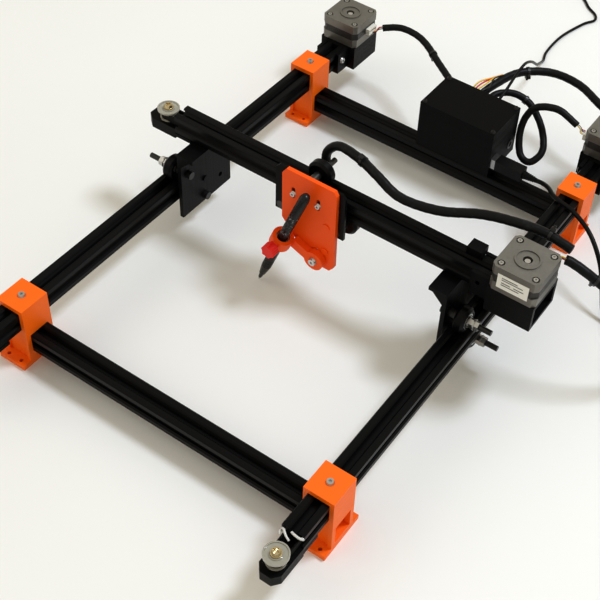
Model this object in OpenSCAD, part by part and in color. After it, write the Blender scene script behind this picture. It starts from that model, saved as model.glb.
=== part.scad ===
// Desktop pen plotter: an H-shaped frame of slotted aluminium rails in printed corner brackets,
// a gantry that rolls along the side rails, and a pen carriage that rolls along the gantry beam.
// Units are millimetres. Origin: centre of the frame on the table top.
// +X to the right, +Y to the rear (towards the side motors), +Z up.

/* [Frame] */
// Distance between the two side rails, centre to centre
rail_spacing = 310; // [240:5:420]
// Distance between front and rear corner brackets, centre to centre
bracket_spacing = 408; // [300:2:600]
// Length of each side rail
side_rail_length = 500; // [400:10:700]
// Height of the side rails' centreline above the table
side_rail_z = 51; // [46:0.5:70]
// Height of the cross rails' centreline above the table
cross_rail_z = 23.5; // [20:0.5:30]

/* [Corner brackets] */
// Bracket width across the side rail
bracket_w = 28; // [26:0.5:36]
// Bracket length along the side rail
bracket_l = 29; // [26:0.5:40]
// Thickness of the plate over the side rail
bracket_cap = 4.5; // [3:0.5:8]
// Length of the foot flange along the side rail
foot_l = 46; // [40:1:70]
// Thickness of the foot flange
foot_t = 5; // [3:0.5:8]

/* [Gantry] */
// Rest position of the gantry beam's centreline along Y
gantry_y = 11; // [-120:1:120]
// Height of the gantry beam's centreline
beam_z = 110; // [105:1:130]
// Left end of the beam
beam_left = -162; // [-180:1:-150]
// Right end of the beam
beam_right = 165; // [160:1:180]
// Half distance between the two upper wheels of a gantry plate
gantry_wheel_dy = 22; // [20:1:28]

/* [Carriage] */
// Rest position of the carriage centre along X
carriage_x = -7; // [-80:1:80]
// Half distance between the two lower wheels of the carriage
carriage_wheel_dx = 29; // [26:1:32]
// Lean of the pen from vertical
pen_lean = 20.6; // [0:0.1:30]

/* [Motors] */
// Side of the square motor body
motor_side = 42.3; // [42:0.1:43]
// Body height of a motor
motor_h = 26; // [22:1:40]
// Spacing of the motor's corner screws
motor_screw_pitch = 31; // [31:0.1:31]

/* [Electronics box] */
// Width of the box along X
box_w = 83; // [75:1:110]
// Depth of the box along Y
box_d = 53; // [50:1:80]
// Height of the box
box_h = 53.5; // [40:0.5:80]

/* [Hidden] */
rail = 20;
hr = rail / 2;
rail_x = rail_spacing / 2;
bracket_y = bracket_spacing / 2;
side_front = -side_rail_length / 2;
side_rear = side_rail_length / 2;
side_top = side_rail_z + hr;
side_bottom = side_rail_z - hr;
cross_top = cross_rail_z + hr;
cross_bottom = cross_rail_z - hr;
beam_top = beam_z + hr;
beam_bottom = beam_z - hr;
beam_front = gantry_y - hr;
beam_rear = gantry_y + hr;

// bracket details
bracket_wall = 3.8;
socket_depth = 12;
foot_hole_r = 1.7;
foot_hole_dx = 7;
foot_hole_dy = 19;
cross_half = rail_x - bracket_w / 2 + socket_depth;

// rail section
slot_mouth = 9.2;
slot_neck = 6.2;
slot_lip = 1.8;
slot_room = 11;
slot_floor = 5.7;
slot_depth = 6.1;
rail_bore_r = 2.1;

// wheels
wheel_r = 12;
wheel_half = 5.1;
wheel_rim_half = 2.9;
wheel_h = 10.46;
wheel_bolt_r = 2.5;
wheel_bore_r = 2.56;

// belts
belt_t = 1.4;
belt_h = 6;
belt_off = 6.35;
pulley_r = belt_off - belt_t / 2 - 0.1;
idler_front_y = side_front - 20;
idler_left_x = beam_left - 15;
idler_bore_r = 2.56;

// motors and mounts
motor_y = side_rear + 26;
gantry_motor_x = beam_right + 26;
mount_rise = 10.5;
mount_drop = 16;
mount_wall = 4;
front_cap_h = 9;
stack_h = 8;

// gantry plates
plate_in = 138;
plate_t = 4;
plate_out = plate_in + plate_t;
plate_front = gantry_y - 32;
plate_rear = gantry_y + 38;
plate_low = 24;
shelf_in = 124;
shelf_t = 4;
top_wheel_z = side_top + wheel_h;
low_wheel_z = side_bottom - wheel_h;

// carriage
car_back = beam_front - 6;
car_t = 3;
car_front = car_back - car_t;
car_half = 34.5;
car_right = 37.5;
car_low = 85;
car_high = 136;
face_t = 4;
face_front = car_front - face_t;
car_top_wheel_z = beam_top + wheel_h;
car_low_wheel_z = beam_bottom - wheel_h;

// pen arm
pivot_x = carriage_x + 14.6;
pivot_z = 54.6;
arm_back = face_front - 0.4;
arm_front = arm_back - 6.6;
pen_y = face_front - 11.4;
pen_r = 4.6;
pen_tip = [carriage_x - 41.3, pen_y, 0.5];
pen_len = 142;
ring_s = 71;
ring_r = 10;
ring_bore_r = 6.2;
ring_h = 11;
servo_shaft_x = carriage_x + 8;
servo_shaft_z = 74;
servo_front = car_back + 1.5;
servo_ears = [-19.3, 8.1];
drive_pin_a = 8;
drive_pin_r = 1.5;
servo_bore_r = 2.06;

// electronics box
box_x0 = -17;
box_y0 = bracket_y - hr + 1;
box_z0 = cross_top;
box_wall = 2.4;
lid_t = 2.6;

$fn = 32;

// ---------- shared shapes ----------

// one of the four identical slots of the rail section, opening towards +Y
module slot_2d() {
    polygon([
        [-slot_mouth / 2, hr + 0.01], [slot_mouth / 2, hr + 0.01],
        [slot_neck / 2, hr - slot_lip + 0.3], [slot_neck / 2, hr - slot_lip],
        [slot_room / 2, hr - slot_lip], [slot_room / 2, hr - slot_lip - 1.6],
        [slot_floor / 2, hr - slot_depth], [-slot_floor / 2, hr - slot_depth],
        [-slot_room / 2, hr - slot_lip - 1.6], [-slot_room / 2, hr - slot_lip],
        [-slot_neck / 2, hr - slot_lip], [-slot_neck / 2, hr - slot_lip + 0.3]
    ]);
}

// 20 mm V-slot section
module rail_2d() {
    difference() {
        polygon([
            [-hr + 1, -hr], [hr - 1, -hr], [hr, -hr + 1], [hr, hr - 1],
            [hr - 1, hr], [-hr + 1, hr], [-hr, hr - 1], [-hr, -hr + 1]
        ]);
        for (a = [0 : 90 : 270]) rotate(a) slot_2d();
        circle(r = rail_bore_r);
    }
}

// rail along +X starting at the origin
module rail_along_x(length) {
    rotate([90, 0, 90]) linear_extrude(length) rail_2d();
}

// rail along +Y starting at the origin
module rail_along_y(length) {
    translate([0, length, 0]) rotate([90, 0, 0]) linear_extrude(length) rail_2d();
}

// button-head screw: head on top of z = 0, shank downwards
module screw_down(r, length, head_r, head_h, key_r) {
    difference() {
        union() {
            translate([0, 0, -length]) cylinder(r = r, h = length + 0.5);
            cylinder(r1 = head_r, r2 = head_r - 0.8, h = head_h);
        }
        translate([0, 0, head_h - 1.2]) cylinder(r = key_r, h = 2, $fn = 6);
    }
}

// V-wheel about the X axis, centred on the origin
module wheel_x() {
    rotate([0, 90, 0]) rotate_extrude($fn = 48) polygon([
        [wheel_bore_r, -wheel_half], [8.4, -wheel_half], [9.8, -wheel_half],
        [wheel_r, -wheel_rim_half], [wheel_r, wheel_rim_half],
        [9.8, wheel_half], [8.4, wheel_half], [7.6, wheel_half - 0.9],
        [5.2, wheel_half - 0.9], [4.6, wheel_half], [wheel_bore_r, wheel_half]
    ]);
}

// V-wheel about the Y axis, centred on the origin
module wheel_y() {
    rotate(90) wheel_x();
}

// long wheel bolt along +X: head inboard of the plate, nuts outboard of the wheel
module wheel_bolt_x() {
    head = 4;
    rotate([0, 90, 0]) {
        translate([0, 0, plate_in - head]) cylinder(r = 3.8, h = head);
        translate([0, 0, plate_in - 0.01]) cylinder(r = wheel_bolt_r, h = 44.01);
    }
}

// two nuts and a washer on the wheel bolt
module wheel_nuts_x() {
    wheel_face = rail_x + wheel_half + 0.1;
    rotate([0, 90, 0]) {
        difference() {
            union() {
                translate([0, 0, wheel_face]) cylinder(r = 5, h = 1);
                translate([0, 0, wheel_face + 1]) cylinder(r = 4.6, h = 4, $fn = 6);
                translate([0, 0, wheel_face + 5]) cylinder(r = 5, h = 1);
                translate([0, 0, wheel_face + 6]) cylinder(r = 4.6, h = 4, $fn = 6);
            }
            translate([0, 0, wheel_face - 1]) cylinder(r = wheel_bolt_r, h = 14);
        }
    }
}

// idler pulley about Z; z = 0 is the middle of the belt
module idler() {
    difference() {
        union() {
            translate([0, 0, -4.6]) cylinder(r = 8, h = 1.4);
            translate([0, 0, -3.25]) cylinder(r = pulley_r, h = 6.6);
            translate([0, 0, 3.3]) cylinder(r1 = 9.2, r2 = 10.2, h = 1.2, $fn = 48);
            translate([0, 0, 4.5]) cylinder(r = 10.2, h = 1.6, $fn = 48);
        }
        translate([0, 0, -6]) cylinder(r = idler_bore_r, h = 14);
        translate([0, 0, 5.4]) difference() {
            cylinder(r = 9, h = 2, $fn = 48);
            translate([0, 0, -1]) cylinder(r = 5.6, h = 4);
        }
    }
}

// axle screw of an idler; z = 0 is the middle of the belt, the shank reaches down into the mount
module idler_axle(down) {
    difference() {
        union() {
            translate([0, 0, -down]) cylinder(r = 2.5, h = down + 7);
            translate([0, 0, 6.4]) cylinder(r = 4.5, h = 1);
            translate([0, 0, 7.4]) cylinder(r1 = 3.9, r2 = 3.1, h = 2.4);
        }
        translate([0, 0, 8.6]) {
            translate([-0.6, -2.6, 0]) cube([1.2, 5.2, 2]);
            translate([-2.6, -0.6, 0]) cube([5.2, 1.2, 2]);
        }
    }
}

// idler mount; the rail ends at y = 0 and the mount reaches towards -Y; z = 0 is the rail's centreline
module idler_mount(reach, axle) {
    difference() {
        union() {
            // block under the pulley, its free corners cut
            translate([0, 0, -16]) linear_extrude(10.7) polygon([
                [-hr, 0], [-hr, -reach + 6], [-hr + 5, -reach], [hr - 5, -reach], [hr, -reach + 6], [hr, 0]
            ]);
            // tongue under the rail
            translate([-hr, -0.01, -13.5]) cube([rail, 17.6, 3.5]);
        }
        translate([0, -axle, -17]) cylinder(r = 2.5, h = 20);
        translate([0, 13, -14]) cylinder(r = 1.6, h = 10);
    }
}

// closed toothed belt lying flat: a band between two centres apart along Y
module belt_loop(y0, y1) {
    outer = belt_off + belt_t / 2;
    inner = belt_off - belt_t / 2;
    translate([0, 0, -belt_h / 2]) difference() {
        union() {
            translate([0, y0, 0]) cylinder(r = outer, h = belt_h, $fn = 48);
            translate([0, y1, 0]) cylinder(r = outer, h = belt_h, $fn = 48);
            translate([-outer, y0, 0]) cube([2 * outer, y1 - y0, belt_h]);
        }
        translate([0, 0, -1]) {
            translate([0, y0, 0]) cylinder(r = inner, h = belt_h + 2, $fn = 48);
            translate([0, y1, 0]) cylinder(r = inner, h = belt_h + 2, $fn = 48);
            translate([-inner, y0, 0]) cube([2 * inner, y1 - y0, belt_h + 2]);
        }
    }
}

// square with cut corners, for motor parts
module motor_2d(cut) {
    h = motor_side / 2;
    polygon([
        [-h + cut, -h], [h - cut, -h], [h, -h + cut], [h, h - cut],
        [h - cut, h], [-h + cut, h], [-h, h - cut], [-h, -h + cut]
    ]);
}

// printed motor mount; z = 0 is the rail's centreline, the rail ends at y = -motor_side/2 - 4.85,
// and the far side (+Y) is open
module motor_mount() {
    h = motor_side / 2;
    neck = 4.85;
    difference() {
        union() {
            translate([-h, -h, -mount_drop]) cube([motor_side, motor_side, mount_drop + mount_rise]);
            // neck and two cheeks that grip the end of the rail
            translate([-hr - 3.6, -h - neck, -mount_drop + 2]) cube([rail + 7.2, neck + 1, mount_drop + 8]);
            for (s = [-1, 1]) translate([s * (hr + 1.8) - 1.8, -h - neck - 14, -mount_drop + 2])
                cube([3.6, 15, mount_drop + 8]);
            translate([-hr - 3.6, -h - neck - 14, -mount_drop + 2]) cube([rail + 7.2, 15, mount_drop - 12]);
        }
        // room for the pulley, open at the far side
        translate([-h + mount_wall, -h + mount_wall, -mount_drop + 3])
            cube([motor_side - 2 * mount_wall, motor_side, mount_drop + mount_rise - 7]);
        // way for both runs of the belt
        translate([-hr + 1.5, -h - neck - 1, -5]) cube([rail - 3, neck + mount_wall + 2, 10]);
        // pilot hole and the four motor screws
        cylinder(r = 11.3, h = 20);
        for (x = [-1, 1], y = [-1, 1])
            translate([x * motor_screw_pitch / 2, y * motor_screw_pitch / 2, 0]) cylinder(r = 1.6, h = 20);
        translate([0, -h - neck - 7, -mount_drop]) cylinder(r = 1.6, h = 7);
        // cheek screws
        for (s = [-1, 1]) translate([s * (hr + 1.8), -h - neck - 7, 0])
            rotate([0, 90, 0]) cylinder(r = 2.1, h = 10, center = true);
    }
}

// screws in the mount's cheeks, same frame as the mount
module cheek_screws() {
    y = -motor_side / 2 - 4.85 - 7;
    for (s = [-1, 1]) translate([s * (hr + 3.6), y, 0]) rotate([0, s * 90, 0])
        screw_down(2, 5, 3.6, 2, 1.4);
}

// aluminium end caps of a motor; z = 0 is the mounting face, the body rises above it
module motor_caps() {
    difference() {
        union() {
            linear_extrude(front_cap_h) motor_2d(3.4);
            translate([0, 0, front_cap_h + stack_h]) linear_extrude(motor_h - front_cap_h - stack_h) motor_2d(3.4);
            translate([0, 0, -2]) cylinder(r = 11, h = 2.1);
            translate([0, 0, motor_h - 0.1]) difference() {
                cylinder(r = 11, h = 1.1, $fn = 48);
                translate([0, 0, -1]) cylinder(r = 9.6, h = 4, $fn = 48);
            }
        }
        translate([0, 0, -3]) cylinder(r = 4, h = motor_h + 6);
        for (x = [-1, 1], y = [-1, 1])
            translate([x * motor_screw_pitch / 2, y * motor_screw_pitch / 2, 0]) {
                translate([0, 0, motor_h - 1.6]) cylinder(r = 3.3, h = 3);
                translate([0, 0, -1]) cylinder(r = 1.5, h = motor_h + 2);
            }
    }
}

// laminated stack between the caps
module motor_stack() {
    translate([0, 0, front_cap_h]) difference() {
        linear_extrude(stack_h) motor_2d(5);
        translate([0, 0, -1]) cylinder(r = 12, h = stack_h + 2);
        for (x = [-1, 1], y = [-1, 1])
            translate([x * motor_screw_pitch / 2, y * motor_screw_pitch / 2, -1]) cylinder(r = 1.5, h = stack_h + 2);
    }
}

// caps and stack, as separate solids
module motor_body() {
    motor_caps();
    motor_stack();
}

// the four long screws of a motor: head in the rear cap, tip below the mount plate
module motor_screws() {
    for (x = [-1, 1], y = [-1, 1])
        translate([x * motor_screw_pitch / 2, y * motor_screw_pitch / 2, motor_h - 1.6])
            screw_down(1.5, motor_h + 2.4, 2.8, 2, 1.2);
}

// rotor, shaft and toothed pulley of a motor; z = 0 is the mounting face
module motor_shaft() {
    belt = -mount_rise;
    union() {
        translate([0, 0, front_cap_h + 0.3]) cylinder(r = 11.6, h = stack_h - 0.6);
        translate([0, 0, belt - 6]) cylinder(r = 2.5, h = motor_h + 6 - belt - 1.2);
        translate([0, 0, belt - 3.25]) cylinder(r = pulley_r, h = 6.5);
        translate([0, 0, belt + 3.2]) cylinder(r = 8, h = 1.2);
        translate([0, 0, belt - 11]) cylinder(r = 8, h = 7.8);
    }
}

// white plug socket on a motor's side, facing +X from x = 0
module motor_socket() {
    translate([0, -7, 0]) difference() {
        cube([4.5, 14, 6.5]);
        translate([1.5, 1.2, 1.2]) cube([4, 11.6, 4.1]);
    }
}

// ---------- tubes for the cords ----------

// ring of points about p, square to direction d; s is any direction the tube never runs along
function ring_pts(p, d, r, n, s) =
    let (
        u = d / norm(d),
        a = cross(s, u) / norm(cross(s, u)),
        b = cross(u, a)
    )
    [for (k = [0 : n - 1]) p + r * (cos(360 * k / n) * a + sin(360 * k / n) * b)];

// closed tube of radius r along the points c, with n sides; d0 and d1 are its end directions
module tube(c, r, n, d0, d1, s = [0, 0, 1]) {
    last = len(c) - 1;
    way = [for (i = [0 : last]) i == 0 ? d0 : i == last ? d1 : c[i + 1] - c[i - 1]];
    rings = [for (i = [0 : last]) ring_pts(c[i], way[i], r, n, s)];
    pts = [for (g = rings) for (q = g) q];
    sides = [for (i = [0 : last - 1], k = [0 : n - 1])
        [i * n + k, (i + 1) * n + k, (i + 1) * n + (k + 1) % n, i * n + (k + 1) % n]];
    polyhedron(points = pts, faces = concat(
        [[for (k = [0 : n - 1]) k]], sides, [[for (k = [n - 1 : -1 : 0]) last * n + k]]
    ));
}

// ---------- cord routes ----------

cable_r = 3.7;
harness_r = 4.3;
usb_r = 2.2;
power_r = 1.5;
box_rear = box_y0 + box_d;
box_right = box_x0 + box_w;
outlet_z = 76;
left_outlet_x = -8;
gantry_outlet_x = 18;
right_outlet_x = 29;
power_outlet_x = 38;
socket_z = 64 + front_cap_h;
beam_socket_z = beam_z + mount_rise + 11.2;
left_route = [
    [-127.8, 282, socket_z], [-121, 287, 76.5], [-104, 295, 80], [-84, 294, 81],
    [-66, 287, 80], [-42, 271, 78], [-22, 257.5, 77], [left_outlet_x, box_rear, outlet_z]
];
right_route = [
    [right_outlet_x, box_rear, outlet_z], [32, 264, 78], [46, 275, 78], [64, 277, 72],
    [84, 268, 58], [96, 252, 45], [91, 238, 37], [79, 239, 39], [70, 249, 53],
    [69, 258, 70], [77, 264, 83], [96, 270, 86], [114, 270, 80], [127.8, 270, socket_z]
];
gantry_route = [
    [gantry_outlet_x, box_rear, outlet_z], [23, 274, 79], [34, 306, 80], [60, 327, 80],
    [92, 327, 80], [122, 314, 78], [150, 308, 70], [182, 307, 54], [214, 300, 33], [244, 280, 12],
    [266, 248, 4.6], [284, 214, 4.6], [299, 174, 4.6], [307, 135, 9], [305, 98, 34],
    [290, 68, 74], [262, 52, 108], [232, 46, 126], [212, 44, 132], [203, 38.2, beam_socket_z]
];
carriage_route = [
    [carriage_x, servo_front + 19, 74], [carriage_x - 3, 23, 82], [carriage_x - 8, 29, 100],
    [carriage_x - 10, 32.5, 117], [carriage_x - 10.5, 34.5, 132], [carriage_x + 2, 34.5, 144.5],
    [20, 29, 146.5], [40, 23, 144.5], [67, 19, 137], [100, 27, 135], [132, 41, 139], [160, 47, 142],
    [186, 51, 142], [212, 50, 139]
];
usb_y = 203;
usb_z = 50;
usb_route = [
    [box_right + 48.2, usb_y, usb_z], [122, 201, 52], [132, 192, 58], [145, 178, 63.6], [168, 171, 63.6],
    [192, 158, 60], [212, 144, 46], [224, 133, 26], [233, 125, 9], [246, 121, 2.6], [262, 120.6, 2.6]
];
usb_coil_at = [262, 150, 0];
power_route = [
    [power_outlet_x, box_rear, outlet_z], [39.5, 266, 84], [37, 290, 87], [35, 314, 87],
    [33, 336, 76], [28, 364, 54], [19, 392, 34], [10, 420, 15], [4, 444, 1.7], [-1, 463, 1.7],
    [-1, 500, 1.7], [8, 539, 1.7], [15.5, 555, 1.7], [11, 566, 1.7],
    [-2, 575, 1.7], [-15, 588, 1.7], [-32, 598, 1.7]
];
power_coil_at = [-32, 617.5, 0];

// ---------- frame ----------

module side_rails() {
    color("#202124") for (s = [-1, 1])
        translate([s * rail_x, side_front, side_rail_z]) rail_along_y(side_rail_length);
}

module cross_rails() {
    color("#202124") for (s = [-1, 1])
        translate([-cross_half, s * bracket_y, cross_rail_z]) rail_along_x(2 * cross_half);
}

// corner bracket; the cross rail enters from -X
module bracket_shape() {
    w = bracket_w / 2;
    l = bracket_l / 2;
    top = side_top + bracket_cap;
    cheek = 2;
    difference() {
        union() {
            translate([-w, -foot_l / 2, 0]) cube([bracket_w, foot_l, foot_t]);
            translate([-w, -l, 0]) cube([bracket_w, bracket_l, top]);
        }
        // way for the side rail
        translate([-hr, -foot_l, side_bottom]) cube([rail, 2 * foot_l, rail]);
        // socket for the cross rail
        translate([-w - 1, -hr, cross_bottom]) cube([socket_depth + 1, rail, rail]);
        // hollow behind the socket, open through the outer wall
        translate([-w + socket_depth + 4, -hr, 8]) cube([bracket_w, rail, 21]);
        // set back front and rear faces between the walls
        for (s = [-1, 1]) translate([-w + bracket_wall, s * (l - cheek / 2 + 0.01) - cheek / 2, foot_t])
            cube([bracket_w - 2 * bracket_wall, cheek, side_bottom - foot_t + 0.01]);
        // cross rail's end screw
        translate([-w, 0, cross_rail_z]) rotate([0, 90, 0]) cylinder(r = 2.1, h = bracket_w);
        // screw into the side rail
        translate([0, 0, side_top - 1]) cylinder(r = 2.1, h = bracket_cap + 2);
        for (x = [-1, 1], y = [-1, 1])
            translate([x * foot_hole_dx, y * foot_hole_dy, -1]) cylinder(r = foot_hole_r, h = foot_t + 2);
    }
}
module corner_brackets() {
    color("#f2641f") for (x = [-1, 1], y = [-1, 1])
        translate([x * rail_x, y * bracket_y, 0]) mirror([x < 0 ? 1 : 0, 0, 0]) bracket_shape();
}

// sliding nuts in the side rails' upper slots
module bracket_t_nuts() {
    for (x = [-1, 1], y = [-1, 1])
        translate([x * rail_x, y * bracket_y, side_top - slot_lip - 1.8]) difference() {
            translate([-5, -5, 0]) cube([10, 10, 1.6]);
            translate([0, 0, -1]) cylinder(r = 2, h = 4);
        }
}

// every screw and nut of the fixed frame
module frame_fasteners() {
    color("#b9bcc0") {
        for (x = [-1, 1], y = [-1, 1]) {
            translate([x * rail_x, y * bracket_y, side_top + bracket_cap]) screw_down(2, 10, 3.6, 2, 1.4);
            // through the brackets into the ends of the cross rails
            translate([x * (cross_half + 4), y * bracket_y, cross_rail_z]) rotate([0, x * 90, 0])
                screw_down(2, 18, 3.6, 2, 1.4);
        }
        bracket_t_nuts();
        for (s = [-1, 1]) {
            at_side_motor(s) translate([0, -motor_side / 2 - 11.85, -mount_drop + 2]) rotate([180, 0, 0])
                screw_down(1.5, 8, 2.8, 2, 1.2);
            // through the idler mounts' tongues into the rails' lower slots
            translate([s * rail_x, side_front + 13, side_rail_z - 13.5]) rotate([180, 0, 0])
                screw_down(1.5, 8, 2.8, 2, 1.2);
            at_side_motor(s) cheek_screws();
            at_side_motor(s) translate([0, 0, mount_rise]) motor_screws();
        }
        for (x = [3.2, box_w - 3.2], y = [3.2, box_d - 3.2])
            translate([box_x0 + x, box_y0 + y, lid_z + lid_t]) screw_down(1.2, 12, 2.6, 1.6, 1);
    }
}

module idler_mounts() {
    color("#1c1d1f") for (s = [-1, 1])
        translate([s * rail_x, side_front, side_rail_z]) idler_mount(33, side_front - idler_front_y);
}

module idler_axles() {
    color("#b89b5e") for (s = [-1, 1])
        translate([s * rail_x, idler_front_y, side_rail_z]) idler_axle(15.5);
}
module idler_left() color("#e4e6e4") translate([-rail_x, idler_front_y, side_rail_z]) idler();
module idler_right() color("#e4e6e4") translate([rail_x, idler_front_y, side_rail_z]) idler();

module side_belts() {
    color("#151515") for (s = [-1, 1])
        translate([s * rail_x, 0, side_rail_z]) belt_loop(idler_front_y, motor_y);
}

// ---------- side motors ----------

module at_side_motor(s) {
    translate([s * rail_x, motor_y, side_rail_z]) mirror([s > 0 ? 1 : 0, 0, 0]) children();
}
module motor_mounts() {
    color("#1c1d1f") for (s = [-1, 1]) at_side_motor(s) motor_mount();
}
module side_motors() {
    color("#b4b1aa") for (s = [-1, 1]) at_side_motor(s) translate([0, 0, mount_rise]) motor_body();
}
module side_motor_sockets() {
    color("#ece9dc") for (s = [-1, 1]) at_side_motor(s)
        translate([motor_side / 2, s < 0 ? 6 : -6, socket_z - side_rail_z - 3.25]) motor_socket();
}
module motor_left_shaft() color("#c4c6c8") at_side_motor(-1) translate([0, 0, mount_rise]) motor_shaft();
module motor_right_shaft() color("#c4c6c8") at_side_motor(1) translate([0, 0, mount_rise]) motor_shaft();

// ---------- electronics box ----------

lid_z = box_z0 + box_h - lid_t;
board_z = 43;
module box_base() {
    color("#242526") difference() {
        translate([box_x0, box_y0, box_z0]) cube([box_w, box_d, box_h - lid_t]);
        difference() {
            translate([box_x0 + box_wall, box_y0 + box_wall, box_z0 + 3])
                cube([box_w - 2 * box_wall, box_d - 2 * box_wall, box_h]);
            // corner posts for the lid's screws
            for (x = [0, 1], y = [0, 1])
                translate([box_x0 + x * box_w - 4, box_y0 + y * box_d - 4, box_z0]) cube([8, 8, box_h]);
            // posts under the board
            for (x = [-8, 48], y = [8, box_d - 8])
                translate([x, box_y0 + y, box_z0]) cylinder(r = 3, h = board_z - box_z0);
        }
        for (x = [3.2, box_w - 3.2], y = [3.2, box_d - 3.2])
            translate([box_x0 + x, box_y0 + y, lid_z - 12]) cylinder(r = 1.25, h = 20);
        // openings for the two sockets
        translate([box_right - 11, usb_y - 6.1, usb_z - 5.6]) cube([13, 12.2, 11.2]);
        translate([box_right - 4, 237, 48]) rotate([0, 90, 0]) cylinder(r = 5.1, h = 6);
        // cable outlets in the rear wall
        for (x = [left_outlet_x, gantry_outlet_x, right_outlet_x])
            translate([x, box_rear - 4, outlet_z]) rotate([-90, 0, 0]) cylinder(r = cable_r - 0.6, h = 6);
        translate([power_outlet_x, box_rear - 4, outlet_z]) rotate([-90, 0, 0]) cylinder(r = power_r - 0.3, h = 6);
    }
}
module box_lid() {
    color("#242526") difference() {
        translate([box_x0, box_y0, lid_z]) cube([box_w, box_d, lid_t]);
        for (x = [3.2, box_w - 3.2], y = [3.2, box_d - 3.2])
            translate([box_x0 + x, box_y0 + y, lid_z - 1]) cylinder(r = 1.6, h = 6);
    }
}
// main board, and a plug-in board with three motor driver modules under finned coolers
module control_boards() {
    color("#1f5f43") {
        translate([box_x0 + 5, box_y0 + 3, board_z]) cube([62, box_d - 6, 1.6]);
        translate([box_x0 + 7, box_y0 + 4, board_z + 13]) cube([46, box_d - 8, 1.6]);
        for (x = [9, 49], y = [6, box_d - 8])
            translate([box_x0 + x, box_y0 + y, board_z + 1.6]) cube([2.5, 2.5, 11.4]);
        for (k = [0 : 2]) translate([box_x0 + 12 + k * 13, box_y0 + 14, board_z + 14.6]) cube([9, 20, 8]);
    }
}
// USB socket and round power socket
module box_sockets() {
    color("#b9bcc0") {
        translate([box_right - 10, usb_y - 6, usb_z - 5.4]) difference() {
            cube([20, 12, 10.8]);
            translate([4, 1.8, 1.5]) cube([17, 8.4, 7.8]);
        }
        translate([box_right - 10, 237, 48]) rotate([0, 90, 0]) difference() {
            cylinder(r = 5, h = 10.6);
            translate([0, 0, 4]) cylinder(r = 3, h = 10);
        }
    }
}

// ---------- gantry ----------

module beam() {
    color("#202124") translate([beam_left, gantry_y, beam_z]) rail_along_x(beam_right - beam_left);
}

// side plates, each with a shelf under the beam
module gantry_plates() {
    color("#1e1f21") for (s = [-1, 1]) mirror([s < 0 ? 1 : 0, 0, 0]) difference() {
        union() {
            translate([plate_in, 0, 0]) rotate([90, 0, 90]) linear_extrude(plate_t) polygon([
                [plate_front, plate_low], [plate_rear - 1, plate_low], [plate_rear, plate_low + 1],
                [plate_rear, beam_bottom - 14], [plate_rear - 12, beam_bottom], [plate_front, beam_bottom]
            ]);
            translate([shelf_in, plate_front, beam_bottom - shelf_t])
                cube([plate_out - shelf_in, gantry_y + 26 - plate_front, shelf_t]);
            // ribs under the shelf
            for (y = [plate_front + 3, gantry_y + 20]) translate([plate_in, y, beam_bottom - shelf_t])
                rotate([90, 90, 0]) linear_extrude(3) polygon([[-0.01, 0.01], [10, 0.01], [-0.01, -10]]);
        }
        for (y = [-1, 1]) translate([plate_in - 1, gantry_y + y * gantry_wheel_dy, top_wheel_z])
            rotate([0, 90, 0]) cylinder(r = wheel_bolt_r, h = 8);
        translate([plate_in - 1, gantry_y, low_wheel_z]) rotate([0, 90, 0]) cylinder(r = wheel_bolt_r, h = 8);
        translate([plate_in - 1, gantry_y + 23, 40]) rotate([0, 90, 0]) cylinder(r = 2.6, h = 8);
        translate([130, gantry_y, beam_bottom - 6]) cylinder(r = 2.1, h = 8);
        translate([plate_in - 1, gantry_y, side_rail_z]) rotate([0, 90, 0]) cylinder(r = 1.6, h = 8);
    }
}

module gantry_wheel_places(s) {
    mirror([s < 0 ? 1 : 0, 0, 0]) {
        for (y = [-1, 1]) translate([0, gantry_y + y * gantry_wheel_dy, top_wheel_z]) children();
        translate([0, gantry_y, low_wheel_z]) children();
    }
}
// wheel bolts, the spacers between plates and wheels, and the nuts outboard of the wheels
module gantry_wheel_bolts() {
    color("#6a6b6d") for (s = [-1, 1]) gantry_wheel_places(s) {
        wheel_bolt_x();
        rotate([0, 90, 0]) translate([0, 0, plate_out]) difference() {
            cylinder(r = 4, h = rail_x - wheel_half - 0.1 - plate_out);
            translate([0, 0, -1]) cylinder(r = wheel_bolt_r, h = 20);
        }
        wheel_nuts_x();
    }
}
module gantry_screws() {
    color("#c4c6c8") {
        for (s = [-1, 1]) translate([s * 130, gantry_y, beam_bottom - shelf_t]) rotate([180, 0, 0])
            screw_down(2, 10, 3.6, 2, 1.4);
        translate([beam_left + 13, gantry_y, beam_z - 13.5]) rotate([180, 0, 0]) screw_down(1.5, 8, 2.8, 2, 1.2);
        at_beam_motor() translate([0, -motor_side / 2 - 11.85, -mount_drop + 2]) rotate([180, 0, 0])
            screw_down(1.5, 8, 2.8, 2, 1.2);
        at_beam_motor() translate([0, 0, mount_rise]) motor_screws();
    }
}
// lugs that hold the belts to the gantry plates
module belt_clamps() {
    color("#1c1d1f") for (s = [-1, 1]) mirror([s < 0 ? 1 : 0, 0, 0]) {
        translate([plate_out, gantry_y - 9, side_rail_z - 2.6])
            cube([rail_x - belt_off - belt_t / 2 - 0.15 - plate_out, 18, 5.2]);
        translate([plate_in, gantry_y, side_rail_z]) rotate([0, -90, 0]) {
            cylinder(r = 2.8, h = 1.6);
            translate([0, 0, -4.01]) cylinder(r = 1.6, h = 5);
        }
    }
}
module beam_block() {
    color("#1c1d1f") translate([137, gantry_y + 1, beam_top]) cube([14, 12, 8]);
}

// the two wheels that share one axis line, left and right
module gantry_wheels(y, z) {
    color("#1b1b1c") for (s = [-1, 1]) translate([s * rail_x, gantry_y + y, z]) wheel_x();
}
module wheels_front() gantry_wheels(-gantry_wheel_dy, top_wheel_z);
module wheels_rear() gantry_wheels(gantry_wheel_dy, top_wheel_z);
module wheels_low() gantry_wheels(0, low_wheel_z);

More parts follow.
